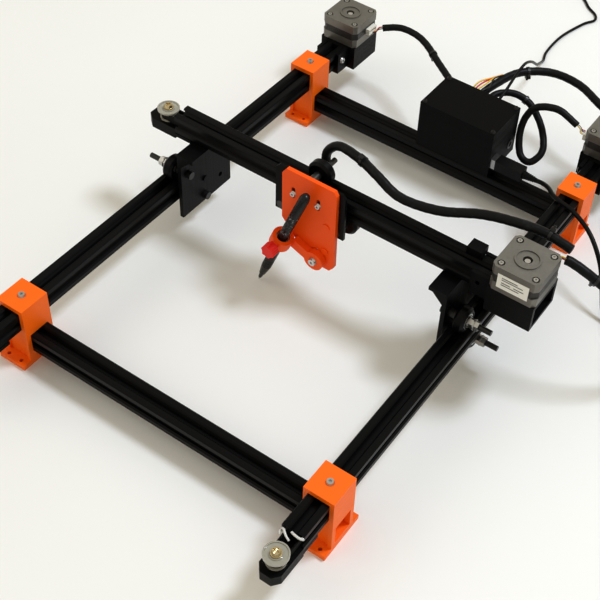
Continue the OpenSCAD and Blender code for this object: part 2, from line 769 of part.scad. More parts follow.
module beam_idler_mount() {
    color("#1c1d1f") translate([beam_left, gantry_y, beam_z]) rotate(-90)
        idler_mount(33, beam_left - idler_left_x);
}
module beam_idler_axle() color("#b89b5e") translate([idler_left_x, gantry_y, beam_z]) idler_axle(15.5);
module beam_idler() color("#e4e6e4") translate([idler_left_x, gantry_y, beam_z]) idler();
module beam_belt() {
    color("#151515") translate([0, gantry_y, beam_z]) rotate(-90) belt_loop(idler_left_x, gantry_motor_x);
}

module at_beam_motor() {
    translate([gantry_motor_x, gantry_y, beam_z]) rotate(-90) children();
}
module beam_motor_mount() color("#1c1d1f") at_beam_motor() motor_mount();
module beam_motor() color("#b4b1aa") at_beam_motor() translate([0, 0, mount_rise]) motor_body();
module beam_motor_socket() {
    color("#ece9dc") translate([gantry_motor_x + 12, gantry_y + motor_side / 2, beam_socket_z - 3.25])
        rotate(90) motor_socket();
}
module beam_motor_shaft() color("#c4c6c8") at_beam_motor() translate([0, 0, mount_rise]) motor_shaft();

// ---------- pen carriage ----------

module carriage_wheel_places() {
    translate([carriage_x, gantry_y, car_top_wheel_z]) children();
    for (s = [-1, 1]) translate([carriage_x + s * carriage_wheel_dx, gantry_y, car_low_wheel_z]) children();
}
module carriage_plate() {
    color("#1e1f21") difference() {
        translate([carriage_x, car_back, 0]) rotate([90, 0, 0]) linear_extrude(car_t) difference() {
            polygon([
                [-car_half, car_low], [car_right, car_low], [car_right, car_high - 4],
                [car_right - 4, car_high], [-car_half + 4, car_high], [-car_half, car_high - 4]
            ]);
            translate([0, car_top_wheel_z]) circle(r = wheel_bolt_r);
            for (s = [-1, 1]) translate([s * carriage_wheel_dx, car_low_wheel_z]) circle(r = wheel_bolt_r);
            for (s = [-1, 1]) translate([s * 13, 115]) circle(r = 1.6);
            translate([0, beam_z]) circle(r = 1.6);
        }
        // room for the sunk bolt heads
        carriage_wheel_places() translate([0, car_front - gantry_y, 0]) rotate([-90, 0, 0])
            translate([0, 0, -1]) cylinder(r = 4.5, h = 2.7);
    }
}
// sunk-head wheel bolts, spacers in front of the wheels and nuts behind them
module carriage_bolts() {
    gap = gantry_y - wheel_half - 0.1 - car_back;
    color("#6a6b6d") {
        carriage_wheel_places() {
            translate([0, car_front - gantry_y, 0]) rotate([-90, 0, 0]) {
                cylinder(r = 4.4, h = 1.6);
                cylinder(r = wheel_bolt_r, h = 32);
            }
            translate([0, car_back - gantry_y, 0]) rotate([-90, 0, 0]) difference() {
                cylinder(r = 4, h = gap);
                translate([0, 0, -1]) cylinder(r = wheel_bolt_r, h = gap + 2);
            }
            translate([0, wheel_half + 0.1, 0]) rotate([-90, 0, 0]) difference() {
                union() {
                    cylinder(r = 5, h = 1);
                    translate([0, 0, 1]) cylinder(r = 4.6, h = 4, $fn = 6);
                }
                translate([0, 0, -1]) cylinder(r = wheel_bolt_r, h = 8);
            }
        }
        translate([carriage_x, car_front + 31, car_top_wheel_z]) rotate([-90, 0, 0])
            cylinder(r = wheel_bolt_r, h = 8);
    }
}
module carriage_belt_clamp() {
    depth = gantry_y - belt_off - belt_t / 2 - 0.15 - car_back;
    color("#1c1d1f") {
        translate([carriage_x - 9, car_back, beam_z - 2.6]) cube([18, depth, 5.2]);
        translate([carriage_x, car_back + 0.01, beam_z]) rotate([90, 0, 0]) cylinder(r = 1.6, h = car_t);
    }
}
module carriage_wheel(x, z) {
    color("#1b1b1c") translate([x, gantry_y, z]) wheel_y();
}
module carriage_wheel_top() carriage_wheel(carriage_x, car_top_wheel_z);
module carriage_wheel_left() carriage_wheel(carriage_x - carriage_wheel_dx, car_low_wheel_z);
module carriage_wheel_right() carriage_wheel(carriage_x + carriage_wheel_dx, car_low_wheel_z);

// printed plate that carries the pen arm and the servo
slot_mid_z = 116;
boss_low = [22, 66];
boss_high = [22, 95];
link_dir = atan2(servo_shaft_z - pivot_z, servo_shaft_x - pivot_x);
link_len = norm([servo_shaft_z - pivot_z, servo_shaft_x - pivot_x]);
mid_swing = 10;
module pen_plate() {
    color("#f2641f") difference() {
        union() {
            translate([carriage_x, car_front, 0]) rotate([90, 0, 0]) linear_extrude(face_t) polygon([
                [-24.5, 82], [3, 48], [9, 45], [27.5, 45], [32, 51], [31.3, 135], [28.5, 139.5],
                [-20.5, 139.5], [-25, 133]
            ]);
            for (b = [boss_low, boss_high]) translate([carriage_x + b[0], face_front + 0.01, b[1]])
                rotate([90, 0, 0]) cylinder(r = 3.6, h = 0.9);
            // posts that hold the servo behind the plate
            for (x = servo_ears) translate([servo_shaft_x + x, car_front - 0.01, servo_shaft_z])
                rotate([-90, 0, 0]) cylinder(r = 2.2, h = servo_front + 4.2 - car_front + 0.01);
        }
        for (s = [-1, 1]) translate([carriage_x + s * 13, 0, slot_mid_z]) rotate([90, 0, 0])
            linear_extrude(40, center = true) {
                translate([0, 4.2]) circle(r = 1.9);
                translate([0, -4.2]) circle(r = 1.9);
                square([3.8, 8.4], center = true);
            }
        translate([pivot_x, 0, pivot_z]) rotate([90, 0, 0]) cylinder(r = 2.5, h = 40);
        // way for the drive pin's swing
        translate([pivot_x, 0, pivot_z]) for (k = [0 : 6]) rotate([0, -link_dir + (k - 3) * 4, 0])
            translate([drive_pin_a, 0, 0]) rotate([90, 0, 0]) cylinder(r = 2.3, h = 40, center = true);
        for (x = servo_ears) translate([servo_shaft_x + x, servo_front - 6, servo_shaft_z])
            rotate([-90, 0, 0]) cylinder(r = 0.9, h = 20);
    }
}
// screws of the pen plate and the servo, and the arm's shouldered pivot screw
module pen_screws() {
    color("#c4c6c8") {
        for (s = [-1, 1]) translate([carriage_x + s * 13, face_front, 115]) rotate([90, 0, 0])
            screw_down(1.5, face_t + car_t + 3, 3, 2, 1.2);
        translate([pivot_x, arm_front - 0.2, pivot_z]) rotate([90, 0, 0])
            screw_down(2.5, face_t + 7.2, 4.2, 2.4, 1.5);
        for (x = servo_ears)
            translate([servo_shaft_x + x, servo_front + 6.6, servo_shaft_z]) rotate([-90, 0, 0])
                screw_down(0.9, 7, 2, 1.4, 0.6);
    }
}
// small geared servo behind the plate, its shaft pointing forwards
module servo_body() {
    color("#26303a") difference() {
        union() {
            translate([servo_shaft_x - 17, servo_front, servo_shaft_z - 6.1]) cube([22.8, 19, 12.2]);
            translate([servo_shaft_x - 21.6, servo_front + 4.2, servo_shaft_z - 6.1]) cube([32, 2.4, 12.2]);
        }
        for (x = servo_ears) translate([servo_shaft_x + x, servo_front, servo_shaft_z])
            rotate([-90, 0, 0]) cylinder(r = 1, h = 8);
        translate([servo_shaft_x, servo_front - 1, servo_shaft_z]) rotate([-90, 0, 0])
            cylinder(r = servo_bore_r, h = 7);
    }
}
// horn on the servo's shaft, its fork round the drive pin
horn_back = servo_front - 0.3;
horn_t = 2.2;
horn_reach = link_len - drive_pin_a;
module servo_horn() {
    color("#e8e6df") translate([servo_shaft_x, horn_back, servo_shaft_z]) rotate([90, 0, 0]) {
        linear_extrude(horn_t) rotate(horn_rest) difference() {
            union() {
                circle(r = 4);
                translate([0, -3]) square([horn_reach + 2.4, 6]);
            }
            translate([horn_reach - 2.6, -1.75]) square([8, 3.5]);
        }
        translate([0, 0, -5]) cylinder(r = 2, h = 5.1);
    }
}
// place of the arm's drive pin at rest, and the horn's angle towards it
pin_rest = [
    pivot_x + drive_pin_a * cos(link_dir + mid_swing),
    pivot_z + drive_pin_a * sin(link_dir + mid_swing)
];
horn_rest = atan2(pin_rest[1] - servo_shaft_z, pin_rest[0] - servo_shaft_x);

// pen arm: hub on the pivot, bar, and the clamp ring round the pen
ring_at = pen_tip + ring_s * [sin(pen_lean), 0, cos(pen_lean)];
module along_pen() {
    translate(pen_tip) rotate([0, pen_lean, 0]) children();
}
module pen_arm() {
    color("#f2641f") difference() {
        union() {
            translate([pivot_x, arm_back, pivot_z]) rotate([90, 0, 0]) cylinder(r = 9.6, h = arm_back - arm_front);
            bar_dx = ring_at[0] - pivot_x;
            bar_dz = ring_at[2] - pivot_z;
            translate([pivot_x, arm_back, pivot_z]) rotate([90, 0, 0]) linear_extrude(arm_back - arm_front)
                rotate(atan2(bar_dz, bar_dx)) translate([0, -5]) square([norm([bar_dx, bar_dz]) - 8, 10]);
            along_pen() translate([0, 0, ring_s - ring_h / 2]) cylinder(r = ring_r, h = ring_h, $fn = 48);
            along_pen() translate([0, 0, ring_s]) rotate([90, 0, 0]) cylinder(r = 4.2, h = ring_r + 1.6);
            // drive pin through the plate
            translate([pin_rest[0], arm_back - 1, pin_rest[1]]) rotate([-90, 0, 0])
                cylinder(r = drive_pin_r, h = horn_back - arm_back + 0.8);
        }
        translate([pivot_x, 0, pivot_z]) rotate([90, 0, 0]) cylinder(r = wheel_bore_r, h = 60);
        along_pen() translate([0, 0, ring_s - 20]) cylinder(r = ring_bore_r, h = 40);
        along_pen() translate([0, 0, ring_s]) rotate([90, 0, 0]) cylinder(r = 2, h = 30);
    }
}
module pen_barrel() {
    color("#17181a") along_pen() {
        translate([0, 0, 24]) cylinder(r = pen_r, h = pen_len - 27);
        translate([0, 0, 12]) cylinder(r1 = 3, r2 = pen_r, h = 12.01);
        translate([0, 0, pen_len - 3.01]) cylinder(r1 = pen_r, r2 = pen_r - 1, h = 3);
    }
}
module pen_nib() {
    color("#2b2b2b") along_pen() {
        translate([0, 0, 4]) cylinder(r1 = 1.6, r2 = 2.4, h = 8);
        translate([0, 0, 0.3]) cylinder(r1 = 0.5, r2 = 1.2, h = 3.71);
    }
}
// red thumb screw of the clamp ring
module clamp_knob() {
    color("#c9202a") along_pen() translate([0, 0, ring_s]) rotate([90, 0, 0]) {
        translate([0, 0, pen_r + 0.1]) cylinder(r = 1.95, h = 14);
        translate([0, 0, ring_r + 2]) linear_extrude(9) {
            circle(r = 5.6);
            for (a = [0 : 60 : 300]) rotate(a) translate([5.2, 0]) circle(r = 1.5, $fn = 16);
        }
    }
}

// ---------- cords ----------

module motor_cable_left() color("#17181a") tube(left_route, cable_r, 8, [1, 0, 0], [0, -1, 0]);
module motor_cable_right() color("#17181a") tube(right_route, cable_r, 8, [0, 1, 0], [1, 0, 0]);
module gantry_cable() color("#17181a") tube(gantry_route, harness_r, 8, [0, 1, 0], [0, -1, 0]);
module carriage_cable() color("#17181a") 
    tube(carriage_route, harness_r, 8, [0, 1, 0], [1, 0, -0.3], [0, -1, 1]);

module usb_plug() {
    color("#131314") {
        translate([box_right + 10, usb_y - 6, usb_z - 5.4]) cube([24, 12, 10.8]);
        translate([box_right + 34, usb_y, usb_z]) rotate([0, 90, 0]) cylinder(r1 = 4, r2 = 2.6, h = 14.2);
    }
}
module usb_lead() color("#131314") tube(usb_route, usb_r, 8, [1, 0, 0], [1, 0, 0]);
// coil of spare lead as one closed ring
module coil_ring(mean_r, bundle_r) {
    translate([0, 0, bundle_r + 0.1]) rotate_extrude($fn = 40)
        translate([mean_r, 0]) circle(r = bundle_r, $fn = 14);
}
module usb_coil() color("#131314") translate(usb_coil_at) coil_ring(25, 5);
module usb_end_plug() {
    color("#b9bcc0") translate([usb_coil_at[0] - 8, usb_coil_at[1] + 27.2, 0.3]) {
        translate([-24, -8, 0]) cube([24, 16, 7.7]);
        translate([-36, -6, 1.7]) cube([12.01, 12, 4.5]);
    }
}
module power_lead() color("#131314") tube(power_route, power_r, 8, [0, 1, 0], [-1, 0, 0]);
module power_coil() color("#131314") translate(power_coil_at) coil_ring(16.5, 4.3);
module power_end_plug() {
    color("#131314") translate([power_coil_at[0] + 6, power_coil_at[1] + 16.5, 5.2]) rotate([0, 90, 0]) {
        cylinder(r = 5, h = 25);
        translate([0, 0, 24.99]) cylinder(r = 2.75, h = 9);
    }
}

side_rails();
cross_rails();
corner_brackets();
frame_fasteners();
idler_mounts();
idler_axles();
idler_left();
idler_right();
side_belts();
motor_mounts();
side_motors();
side_motor_sockets();
motor_left_shaft();
motor_right_shaft();
box_base();
box_lid();
control_boards();
box_sockets();
beam();
gantry_plates();
gantry_wheel_bolts();
gantry_screws();
belt_clamps();
beam_block();
wheels_front();
wheels_rear();
wheels_low();
beam_idler_mount();
beam_idler_axle();
beam_idler();
beam_belt();
beam_motor_mount();
beam_motor();
beam_motor_socket();
beam_motor_shaft();
carriage_plate();
carriage_bolts();
carriage_belt_clamp();
carriage_wheel_top();
carriage_wheel_left();
carriage_wheel_right();
pen_plate();
pen_screws();
servo_body();
servo_horn();
pen_arm();
pen_barrel();
pen_nib();
clamp_knob();
motor_cable_left();
motor_cable_right();
gantry_cable();
carriage_cable();
usb_plug();
usb_lead();
usb_coil();
usb_end_plug();
power_lead();
power_coil();
power_end_plug();
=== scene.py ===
"""Desktop pen plotter: looks around the fixed CAD frame. Metres, +X right, +Y rear, +Z up."""
import math
import random

import bpy
from mathutils import Matrix, Vector


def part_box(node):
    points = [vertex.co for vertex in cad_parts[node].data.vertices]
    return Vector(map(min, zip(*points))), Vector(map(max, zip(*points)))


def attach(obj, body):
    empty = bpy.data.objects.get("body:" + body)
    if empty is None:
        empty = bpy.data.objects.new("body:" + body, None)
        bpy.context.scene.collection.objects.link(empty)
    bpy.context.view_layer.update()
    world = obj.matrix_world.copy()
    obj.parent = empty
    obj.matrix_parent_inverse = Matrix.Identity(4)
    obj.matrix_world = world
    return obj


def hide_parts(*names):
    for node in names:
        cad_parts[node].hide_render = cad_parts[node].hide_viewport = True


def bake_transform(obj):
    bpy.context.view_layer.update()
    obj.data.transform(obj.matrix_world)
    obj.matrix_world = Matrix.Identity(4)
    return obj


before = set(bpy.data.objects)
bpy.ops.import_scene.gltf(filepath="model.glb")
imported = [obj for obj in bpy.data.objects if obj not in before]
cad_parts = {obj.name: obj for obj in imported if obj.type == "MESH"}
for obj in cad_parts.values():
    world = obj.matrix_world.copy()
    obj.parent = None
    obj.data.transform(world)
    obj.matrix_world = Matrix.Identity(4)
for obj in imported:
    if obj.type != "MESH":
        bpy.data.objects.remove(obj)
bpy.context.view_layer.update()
MM = 0.001


# ---------------------------------------------------------------- camera

CAMERA_AT = (0.41592, -0.63058, 0.81722)
AZIMUTH, ELEVATION, ROLL = 28.91, 45.32, 5.92
LENS_MM = 72.18
SHIFT_X, SHIFT_Y = -0.1406, -0.081


def place_camera():
    az, el, roll = math.radians(AZIMUTH), math.radians(ELEVATION), math.radians(ROLL)
    back = Vector((math.sin(az) * math.cos(el), -math.cos(az) * math.cos(el), math.sin(el)))
    right = Vector((math.cos(az), math.sin(az), 0))
    up = back.cross(right)
    r2 = right * math.cos(roll) + up * math.sin(roll)
    u2 = -right * math.sin(roll) + up * math.cos(roll)
    data = bpy.data.cameras.new("camera")
    data.sensor_width = 36
    data.lens = LENS_MM
    data.shift_x = SHIFT_X
    data.shift_y = SHIFT_Y
    data.clip_end = 20
    camera = bpy.data.objects.new("camera", data)
    bpy.context.scene.collection.objects.link(camera)
    turn = Matrix((r2, u2, back)).transposed().to_4x4()
    camera.matrix_world = Matrix.Translation(CAMERA_AT) @ turn
    bpy.context.scene.camera = camera


place_camera()


# ---------------------------------------------------------------- materials

class Nodes:
    """Short names for the nodes of one material."""

    def __init__(self, name):
        self.m = bpy.data.materials.new(name)
        self.m.use_nodes = True
        self.t = self.m.node_tree
        self.p = self.t.nodes["Principled BSDF"]
        self.co = self.t.nodes.new("ShaderNodeTexCoord").outputs["Object"]

    def add(self, kind, **inputs):
        n = self.t.nodes.new(kind)
        for k, v in inputs.items():
            n.inputs[k.replace("_", " ")].default_value = v
        return n

    def link(self, a, b):
        self.t.links.new(a, b)

    def stretch(self, scale):
        n = self.add("ShaderNodeMapping")
        n.inputs["Scale"].default_value = scale
        self.link(self.co, n.inputs["Vector"])
        return n.outputs["Vector"]

    def noise(self, scale, detail=3.0, rough=0.55, where=None):
        n = self.add("ShaderNodeTexNoise", Scale=scale, Detail=detail, Roughness=rough)
        self.link(where or self.co, n.inputs["Vector"])
        return n.outputs["Fac"]

    def ramp(self, fac, low, high, a, b):
        n = self.add("ShaderNodeMapRange")
        n.inputs["From Min"].default_value = low
        n.inputs["From Max"].default_value = high
        n.inputs["To Min"].default_value = a
        n.inputs["To Max"].default_value = b
        self.link(fac, n.inputs["Value"])
        return n.outputs["Result"]

    def mix(self, fac, a, b):
        n = self.t.nodes.new("ShaderNodeMix")
        n.data_type = "RGBA"
        if isinstance(fac, float):
            n.inputs["Factor"].default_value = fac
        else:
            self.link(fac, n.inputs["Factor"])
        for v, i in ((a, 6), (b, 7)):
            if isinstance(v, tuple):
                n.inputs[i].default_value = (*v, 1) if len(v) == 3 else v
            else:
                self.link(v, n.inputs[i])
        return n.outputs[2]

    def math(self, op, a, b=0.0):
        n = self.t.nodes.new("ShaderNodeMath")
        n.operation = op
        for v, i in ((a, 0), (b, 1)):
            if isinstance(v, (int, float)):
                n.inputs[i].default_value = v
            else:
                self.link(v, n.inputs[i])
        return n.outputs[0]

    def weigh(self, a, part_a, b, part_b):
        """Sum of two values, each times its part."""
        return self.math("ADD", self.math("MULTIPLY", a, part_a), self.math("MULTIPLY", b, part_b))

    def axis(self, k):
        n = self.t.nodes.new("ShaderNodeSeparateXYZ")
        self.link(self.co, n.inputs[0])
        return n.outputs[k]

    def bump(self, height, strength, distance, before=None):
        n = self.add("ShaderNodeBump", Strength=strength, Distance=distance)
        self.link(height, n.inputs["Height"])
        if before:
            self.link(before, n.inputs["Normal"])
        return n.outputs["Normal"]

    def done(self, color=None, rough=None, normal=None, **fixed):
        for k, v in fixed.items():
            self.p.inputs[k.replace("_", " ")].default_value = v
        for value, key in ((color, "Base Color"), (rough, "Roughness"), (normal, "Normal")):
            if value is None:
                continue
            if isinstance(value, tuple):
                self.p.inputs[key].default_value = (*value, 1)
            elif isinstance(value, float):
                self.p.inputs[key].default_value = value
            else:
                self.link(value, self.p.inputs[key])
        return self.m


def satin(name, base, rough, metal, streak=None, grain=900.0, vary=0.12, bump=0.15, deep=0.00005, **more):
    """Plain finish with colour variation, roughness variation and a fine grain, streaked along one axis."""
    n = Nodes(name)
    where = n.stretch(streak) if streak else None
    fine = n.noise(grain, 3.0, 0.6, where)
    broad = n.noise(35.0, 4.0, 0.6)
    dark = tuple(c * (1 - vary) for c in base)
    light = tuple(min(1.0, c * (1 + vary)) for c in base)
    colour = n.mix(n.weigh(fine, 0.4, broad, 0.6), dark, light)
    r = n.ramp(n.math("ADD", fine, broad), 0.6, 1.4, rough * 0.85, min(1.0, rough * 1.2))
    return n.done(colour, r, n.bump(fine, bump, deep), Metallic=metal, **more)


def printed(name, base, rough, layer_axis=2, vary=0.07, pitch=0.0004, bump=0.5, **more):
    """Printed plastic: fine layer lines square to layer_axis, slight mottling."""
    n = Nodes(name)
    t = n.axis(layer_axis)
    ridges = n.math("PINGPONG", t, pitch / 2)
    height = n.math("MULTIPLY", ridges, 2 / pitch)
    broad = n.noise(60.0, 3.0, 0.6)
    layers = n.noise(1.0, 2.0, 0.7, n.stretch(tuple(900.0 if k == layer_axis else 12.0 for k in range(3))))
    dark = tuple(c * (1 - vary) for c in base)
    light = tuple(min(1.0, c * (1 + vary)) for c in base)
    colour = n.mix(n.weigh(broad, 0.5, layers, 0.5), dark, light)
    r = n.ramp(layers, 0.3, 0.7, rough * 0.85, min(1.0, rough * 1.2))
    normal = n.bump(height, bump, 0.00006, n.bump(layers, 0.25, 0.0001))
    return n.done(colour, r, normal, **more)


def motor_material(name, face_z):
    """Cast caps with a dark laminated stack between them."""
    n = Nodes(name)
    z = n.axis(2)
    low, high = face_z + 0.009, face_z + 0.017
    inside = n.math("MULTIPLY", n.math("GREATER_THAN", z, low), n.math("LESS_THAN", z, high))
    grain = n.noise(700.0, 4.0, 0.7)
    broad = n.noise(90.0, 3.0, 0.6)
    cast = n.mix(n.weigh(grain, 0.5, broad, 0.5), (0.15, 0.142, 0.125), (0.29, 0.275, 0.25))
    sheets = n.math("MULTIPLY", n.math("PINGPONG", z, 0.00025), 4000.0)
    stack = n.mix(sheets, (0.03, 0.028, 0.026), (0.10, 0.095, 0.09))
    colour = n.mix(inside, cast, stack)
    height = n.math("ADD", n.math("MULTIPLY", grain, 0.4),
                    n.math("MULTIPLY", n.math("MULTIPLY", sheets, inside), 0.8))
    rough = n.ramp(grain, 0.3, 0.7, 0.36, 0.52)
    return n.done(colour, rough, n.bump(height, 0.35, 0.00012), Metallic=0.75)


def two_tone(name, axis, low, high, inner, outer):
    """One tone where |coordinate| lies between low and high, another elsewhere; bright tones are metal."""
    n = Nodes(name)
    t = n.math("ABSOLUTE", n.axis(axis))
    inside = n.math("MULTIPLY", n.math("GREATER_THAN", t, low), n.math("LESS_THAN", t, high))
    grain = n.noise(1800.0, 3.0, 0.6)
    colour = n.mix(n.math("MULTIPLY", grain, 0.3), n.mix(inside, outer, inner), (0.02, 0.02, 0.02))
    normal = n.bump(grain, 0.12, 0.00005)
    made = n.done(colour, n.ramp(grain, 0.3, 0.7, 0.26, 0.36), normal)
    metal = [0.0 if max(tone) < 0.1 else 1.0 for tone in (outer, inner)]
    n.link(n.ramp(inside, 0.0, 1.0, *metal), n.p.inputs["Metallic"])
    return made


def belt_material():
    n = Nodes("belt")
    weave = n.noise(1400.0, 2.0, 0.5)
    colour = n.mix(weave, (0.004, 0.004, 0.004), (0.013, 0.0125, 0.012))
    return n.done(colour, 0.6, n.bump(weave, 0.4, 0.00008), Specular_IOR_Level=0.15)


def sleeve_material():
    """Black wrap with a fine weave and greyish wear."""
    n = Nodes("sleeve")
    fine = n.noise(1500.0, 3.0, 0.6)
    wear = n.noise(160.0, 4.0, 0.65)
    base = n.mix(fine, (0.003, 0.003, 0.0035), (0.012, 0.012, 0.013))
    colour = n.mix(n.ramp(wear, 0.55, 0.75, 0.0, 0.5), base, (0.030, 0.030, 0.031))
    return n.done(colour, n.ramp(fine, 0.3, 0.7, 0.34, 0.5), n.bump(fine, 0.35, 0.00015),
                  Specular_IOR_Level=0.18)


def pen_material():
    """Gloss black barrel with worn white print specks round its middle."""
    n = Nodes("pen_shell")
    specks = n.noise(1.0, 2.0, 0.6, n.stretch((620.0, 620.0, 420.0)))
    z = n.axis(2)
    band = n.math("MULTIPLY", n.math("GREATER_THAN", z, 0.083), n.math("LESS_THAN", z, 0.112))
    mask = n.math("MULTIPLY", n.ramp(specks, 0.60, 0.64, 0.0, 0.8), band)
    base = n.mix(n.noise(300.0), (0.004, 0.004, 0.005), (0.009, 0.009, 0.011))
    return n.done(n.mix(mask, base, (0.30, 0.30, 0.33)), n.ramp(specks, 0.3, 0.7, 0.2, 0.34),
                  n.bump(specks, 0.08, 0.00005), Specular_IOR_Level=0.4)


def floor_material():
    n = Nodes("table")
    broad = n.noise(2.2, 4.0, 0.55)
    fine = n.noise(180.0, 3.0, 0.6)
    return n.done(n.mix(broad, (0.80, 0.795, 0.785), (0.86, 0.857, 0.85)),
                  n.ramp(fine, 0.3, 0.7, 0.5, 0.62), n.bump(fine, 0.03, 0.0002))


DEEP_BLACK = (0.0032, 0.0032, 0.0036)
M = {
    "rail_y": satin("rail_y", DEEP_BLACK, 0.34, 0.0, (1, 0.02, 1), 1500.0, Specular_IOR_Level=0.15),
    "rail_x": satin("rail_x", DEEP_BLACK, 0.34, 0.0, (0.02, 1, 1), 1500.0, Specular_IOR_Level=0.15),
    "orange": printed("orange", (0.95, 0.17, 0.004), 0.42, 2, Specular_IOR_Level=0.35),
    # The second orange is the first with less green and blue: painted shade for the pen plate and arm, whose
    # faces lie in shade.
    "orange_flat_painted_shade": printed("orange_flat_painted_shade", (0.95, 0.115, 0.003), 0.42, 1, Specular_IOR_Level=0.3),
    "black": printed("black", DEEP_BLACK, 0.4, 2, vary=0.2, Specular_IOR_Level=0.12),
    "black_flat": printed("black_flat", DEEP_BLACK, 0.4, 1, vary=0.2, Specular_IOR_Level=0.12),
    "box": printed("box", (0.0026, 0.0026, 0.0028), 0.48, 2, vary=0.25, bump=0.3, Specular_IOR_Level=0.10),
    "steel": satin("steel", (0.62, 0.61, 0.60), 0.26, 1.0, grain=2500.0, bump=0.1),
    "dark_steel": satin("dark_steel", (0.09, 0.088, 0.085), 0.34, 0.9, grain=1800.0),
    "wheel_bolts": two_tone("wheel_bolts", 0, 0.1601, 0.1702, (0.60, 0.59, 0.57), (0.010, 0.010, 0.011)),
    "sockets": two_tone("sockets", 1, 0.1, 0.225, (0.40, 0.40, 0.40), (0.006, 0.006, 0.0065)),
    "fasteners": two_tone("fasteners", 0, 0.0, 0.1, (0.006, 0.006, 0.0065), (0.62, 0.61, 0.60)),
    "brass": satin("brass", (0.62, 0.52, 0.33), 0.24, 1.0, grain=1600.0),
    "disc": satin("disc", (0.52, 0.50, 0.43), 0.2, 0.0, grain=500.0, vary=0.05, Transmission_Weight=0.35,
                  Coat_Weight=0.4),
    "belt": belt_material(),
    "motor_side": motor_material("motor_side", 0.0615),
    "motor_beam": motor_material("motor_beam", 0.1205),
    "white": satin("white", (0.80, 0.78, 0.71), 0.38, 0.0, grain=700.0, vary=0.05),
    "board": satin("board", (0.02, 0.11, 0.055), 0.35, 0.0, grain=900.0),
    "metal": satin("metal", (0.58, 0.58, 0.59), 0.24, 1.0, grain=2200.0),
    "wheel": satin("wheel", DEEP_BLACK, 0.34, 0.0, grain=1200.0, vary=0.3, Specular_IOR_Level=0.15),
    "servo": satin("servo", (0.006, 0.010, 0.020), 0.3, 0.0, grain=900.0, vary=0.15),
    "pen": pen_material(),
    "red": printed("red", (0.78, 0.022, 0.010), 0.38, 1, vary=0.12, Specular_IOR_Level=0.35),
    "plug": satin("plug", (0.005, 0.005, 0.0055), 0.4, 0.0, grain=900.0, vary=0.25, Specular_IOR_Level=0.15),
    "lead": satin("lead", (0.005, 0.005, 0.0055), 0.36, 0.0, grain=1500.0, vary=0.3, Specular_IOR_Level=0.18),
    "sleeve": sleeve_material(),
    "paper": satin("paper", (0.82, 0.81, 0.76), 0.5, 0.0, grain=900.0, vary=0.05),
    "grey_bar": satin("grey_bar", (0.16, 0.16, 0.155), 0.5, 0.0, grain=900.0, vary=0.1),
    "wire_red": satin("wire_red", (0.55, 0.02, 0.02), 0.35, 0.0, grain=900.0),
    "wire_yellow": satin("wire_yellow", (0.75, 0.50, 0.04), 0.35, 0.0, grain=900.0),
    "wire_white": satin("wire_white", (0.78, 0.77, 0.74), 0.35, 0.0, grain=900.0, vary=0.05),
    "wire_black": satin("wire_black", (0.015, 0.015, 0.016), 0.35, 0.0, grain=900.0),
    "tie": satin("tie", (0.012, 0.012, 0.013), 0.3, 0.0, grain=900.0),
    "strand": satin("strand", (0.84, 0.84, 0.82), 0.3, 0.0, grain=900.0, vary=0.04, Transmission_Weight=0.3),
}


# ---------------------------------------------------------------- mesh helpers

def piece(name, verts, faces, material, body, slot, smooth=True, edge=None):
    """New mesh object that rides on a body."""
    mesh = bpy.data.meshes.new(name)
    mesh.from_pydata([tuple(v) for v in verts], [], faces)
    mesh.validate()
    mesh.materials.append(M[material])
    obj = bpy.data.objects.new(name, mesh)
    bpy.context.scene.collection.objects.link(obj)
    finish_piece(obj, body, smooth, edge)
    return obj


def finish_piece(obj, body, smooth=True, edge=None):
    for p in obj.data.polygons:
        p.use_smooth = smooth
    if edge:
        soften(obj, edge)
    if body:
        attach(obj, body)


def soften(obj, width, segments=2, angle=35):
    """Small rounded edges and clean shading."""
    mod = obj.modifiers.new("edges", "BEVEL")
    mod.width = width
    mod.segments = segments
    mod.limit_method = "ANGLE"
    mod.angle_limit = math.radians(angle)
    mod.harden_normals = True
    mod.use_clamp_overlap = True


def spline(points, step):
    """Points a step apart on the smooth curve through the route points."""
    p = [Vector(q) for q in points]
    dense = []
    for i in range(len(p) - 1):
        q0, q1, q2, q3 = p[max(i - 1, 0)], p[i], p[i + 1], p[min(i + 2, len(p) - 1)]
        for j in range(24):
            t = j / 24
            dense.append(0.5 * (2 * q1 + (q2 - q0) * t + (2 * q0 - 5 * q1 + 4 * q2 - q3) * t * t
                                + (3 * q1 - q0 - 3 * q2 + q3) * t * t * t))
    dense.append(p[-1])
    return resample(dense, step)


def length_of(pts):
    return sum((b - a).length for a, b in zip(pts, pts[1:]))


def resample(pts, step):
    total = length_of(pts)
    count = max(2, round(total / step))
    out, k, done = [pts[0].copy()], 0, 0.0
    for i in range(1, count):
        want = total * i / count
        while done + (pts[k + 1] - pts[k]).length < want:
            done += (pts[k + 1] - pts[k]).length
            k += 1
        seg = (pts[k + 1] - pts[k]).length
        out.append(pts[k].lerp(pts[k + 1], (want - done) / seg))
    out.append(pts[-1].copy())
    return out


def frames(path):
    """Two directions square to the path at each point, without twist."""
    last = len(path) - 1
    tangents = [(path[min(i + 1, last)] - path[max(i - 1, 0)]).normalized() for i in range(len(path))]
    a = tangents[0].cross(Vector((0.13, 0.31, 0.94))).normalized()
    out = []
    for t in tangents:
        a = (a - t * a.dot(t)).normalized()
        out.append((a.copy(), t.cross(a)))
    return out


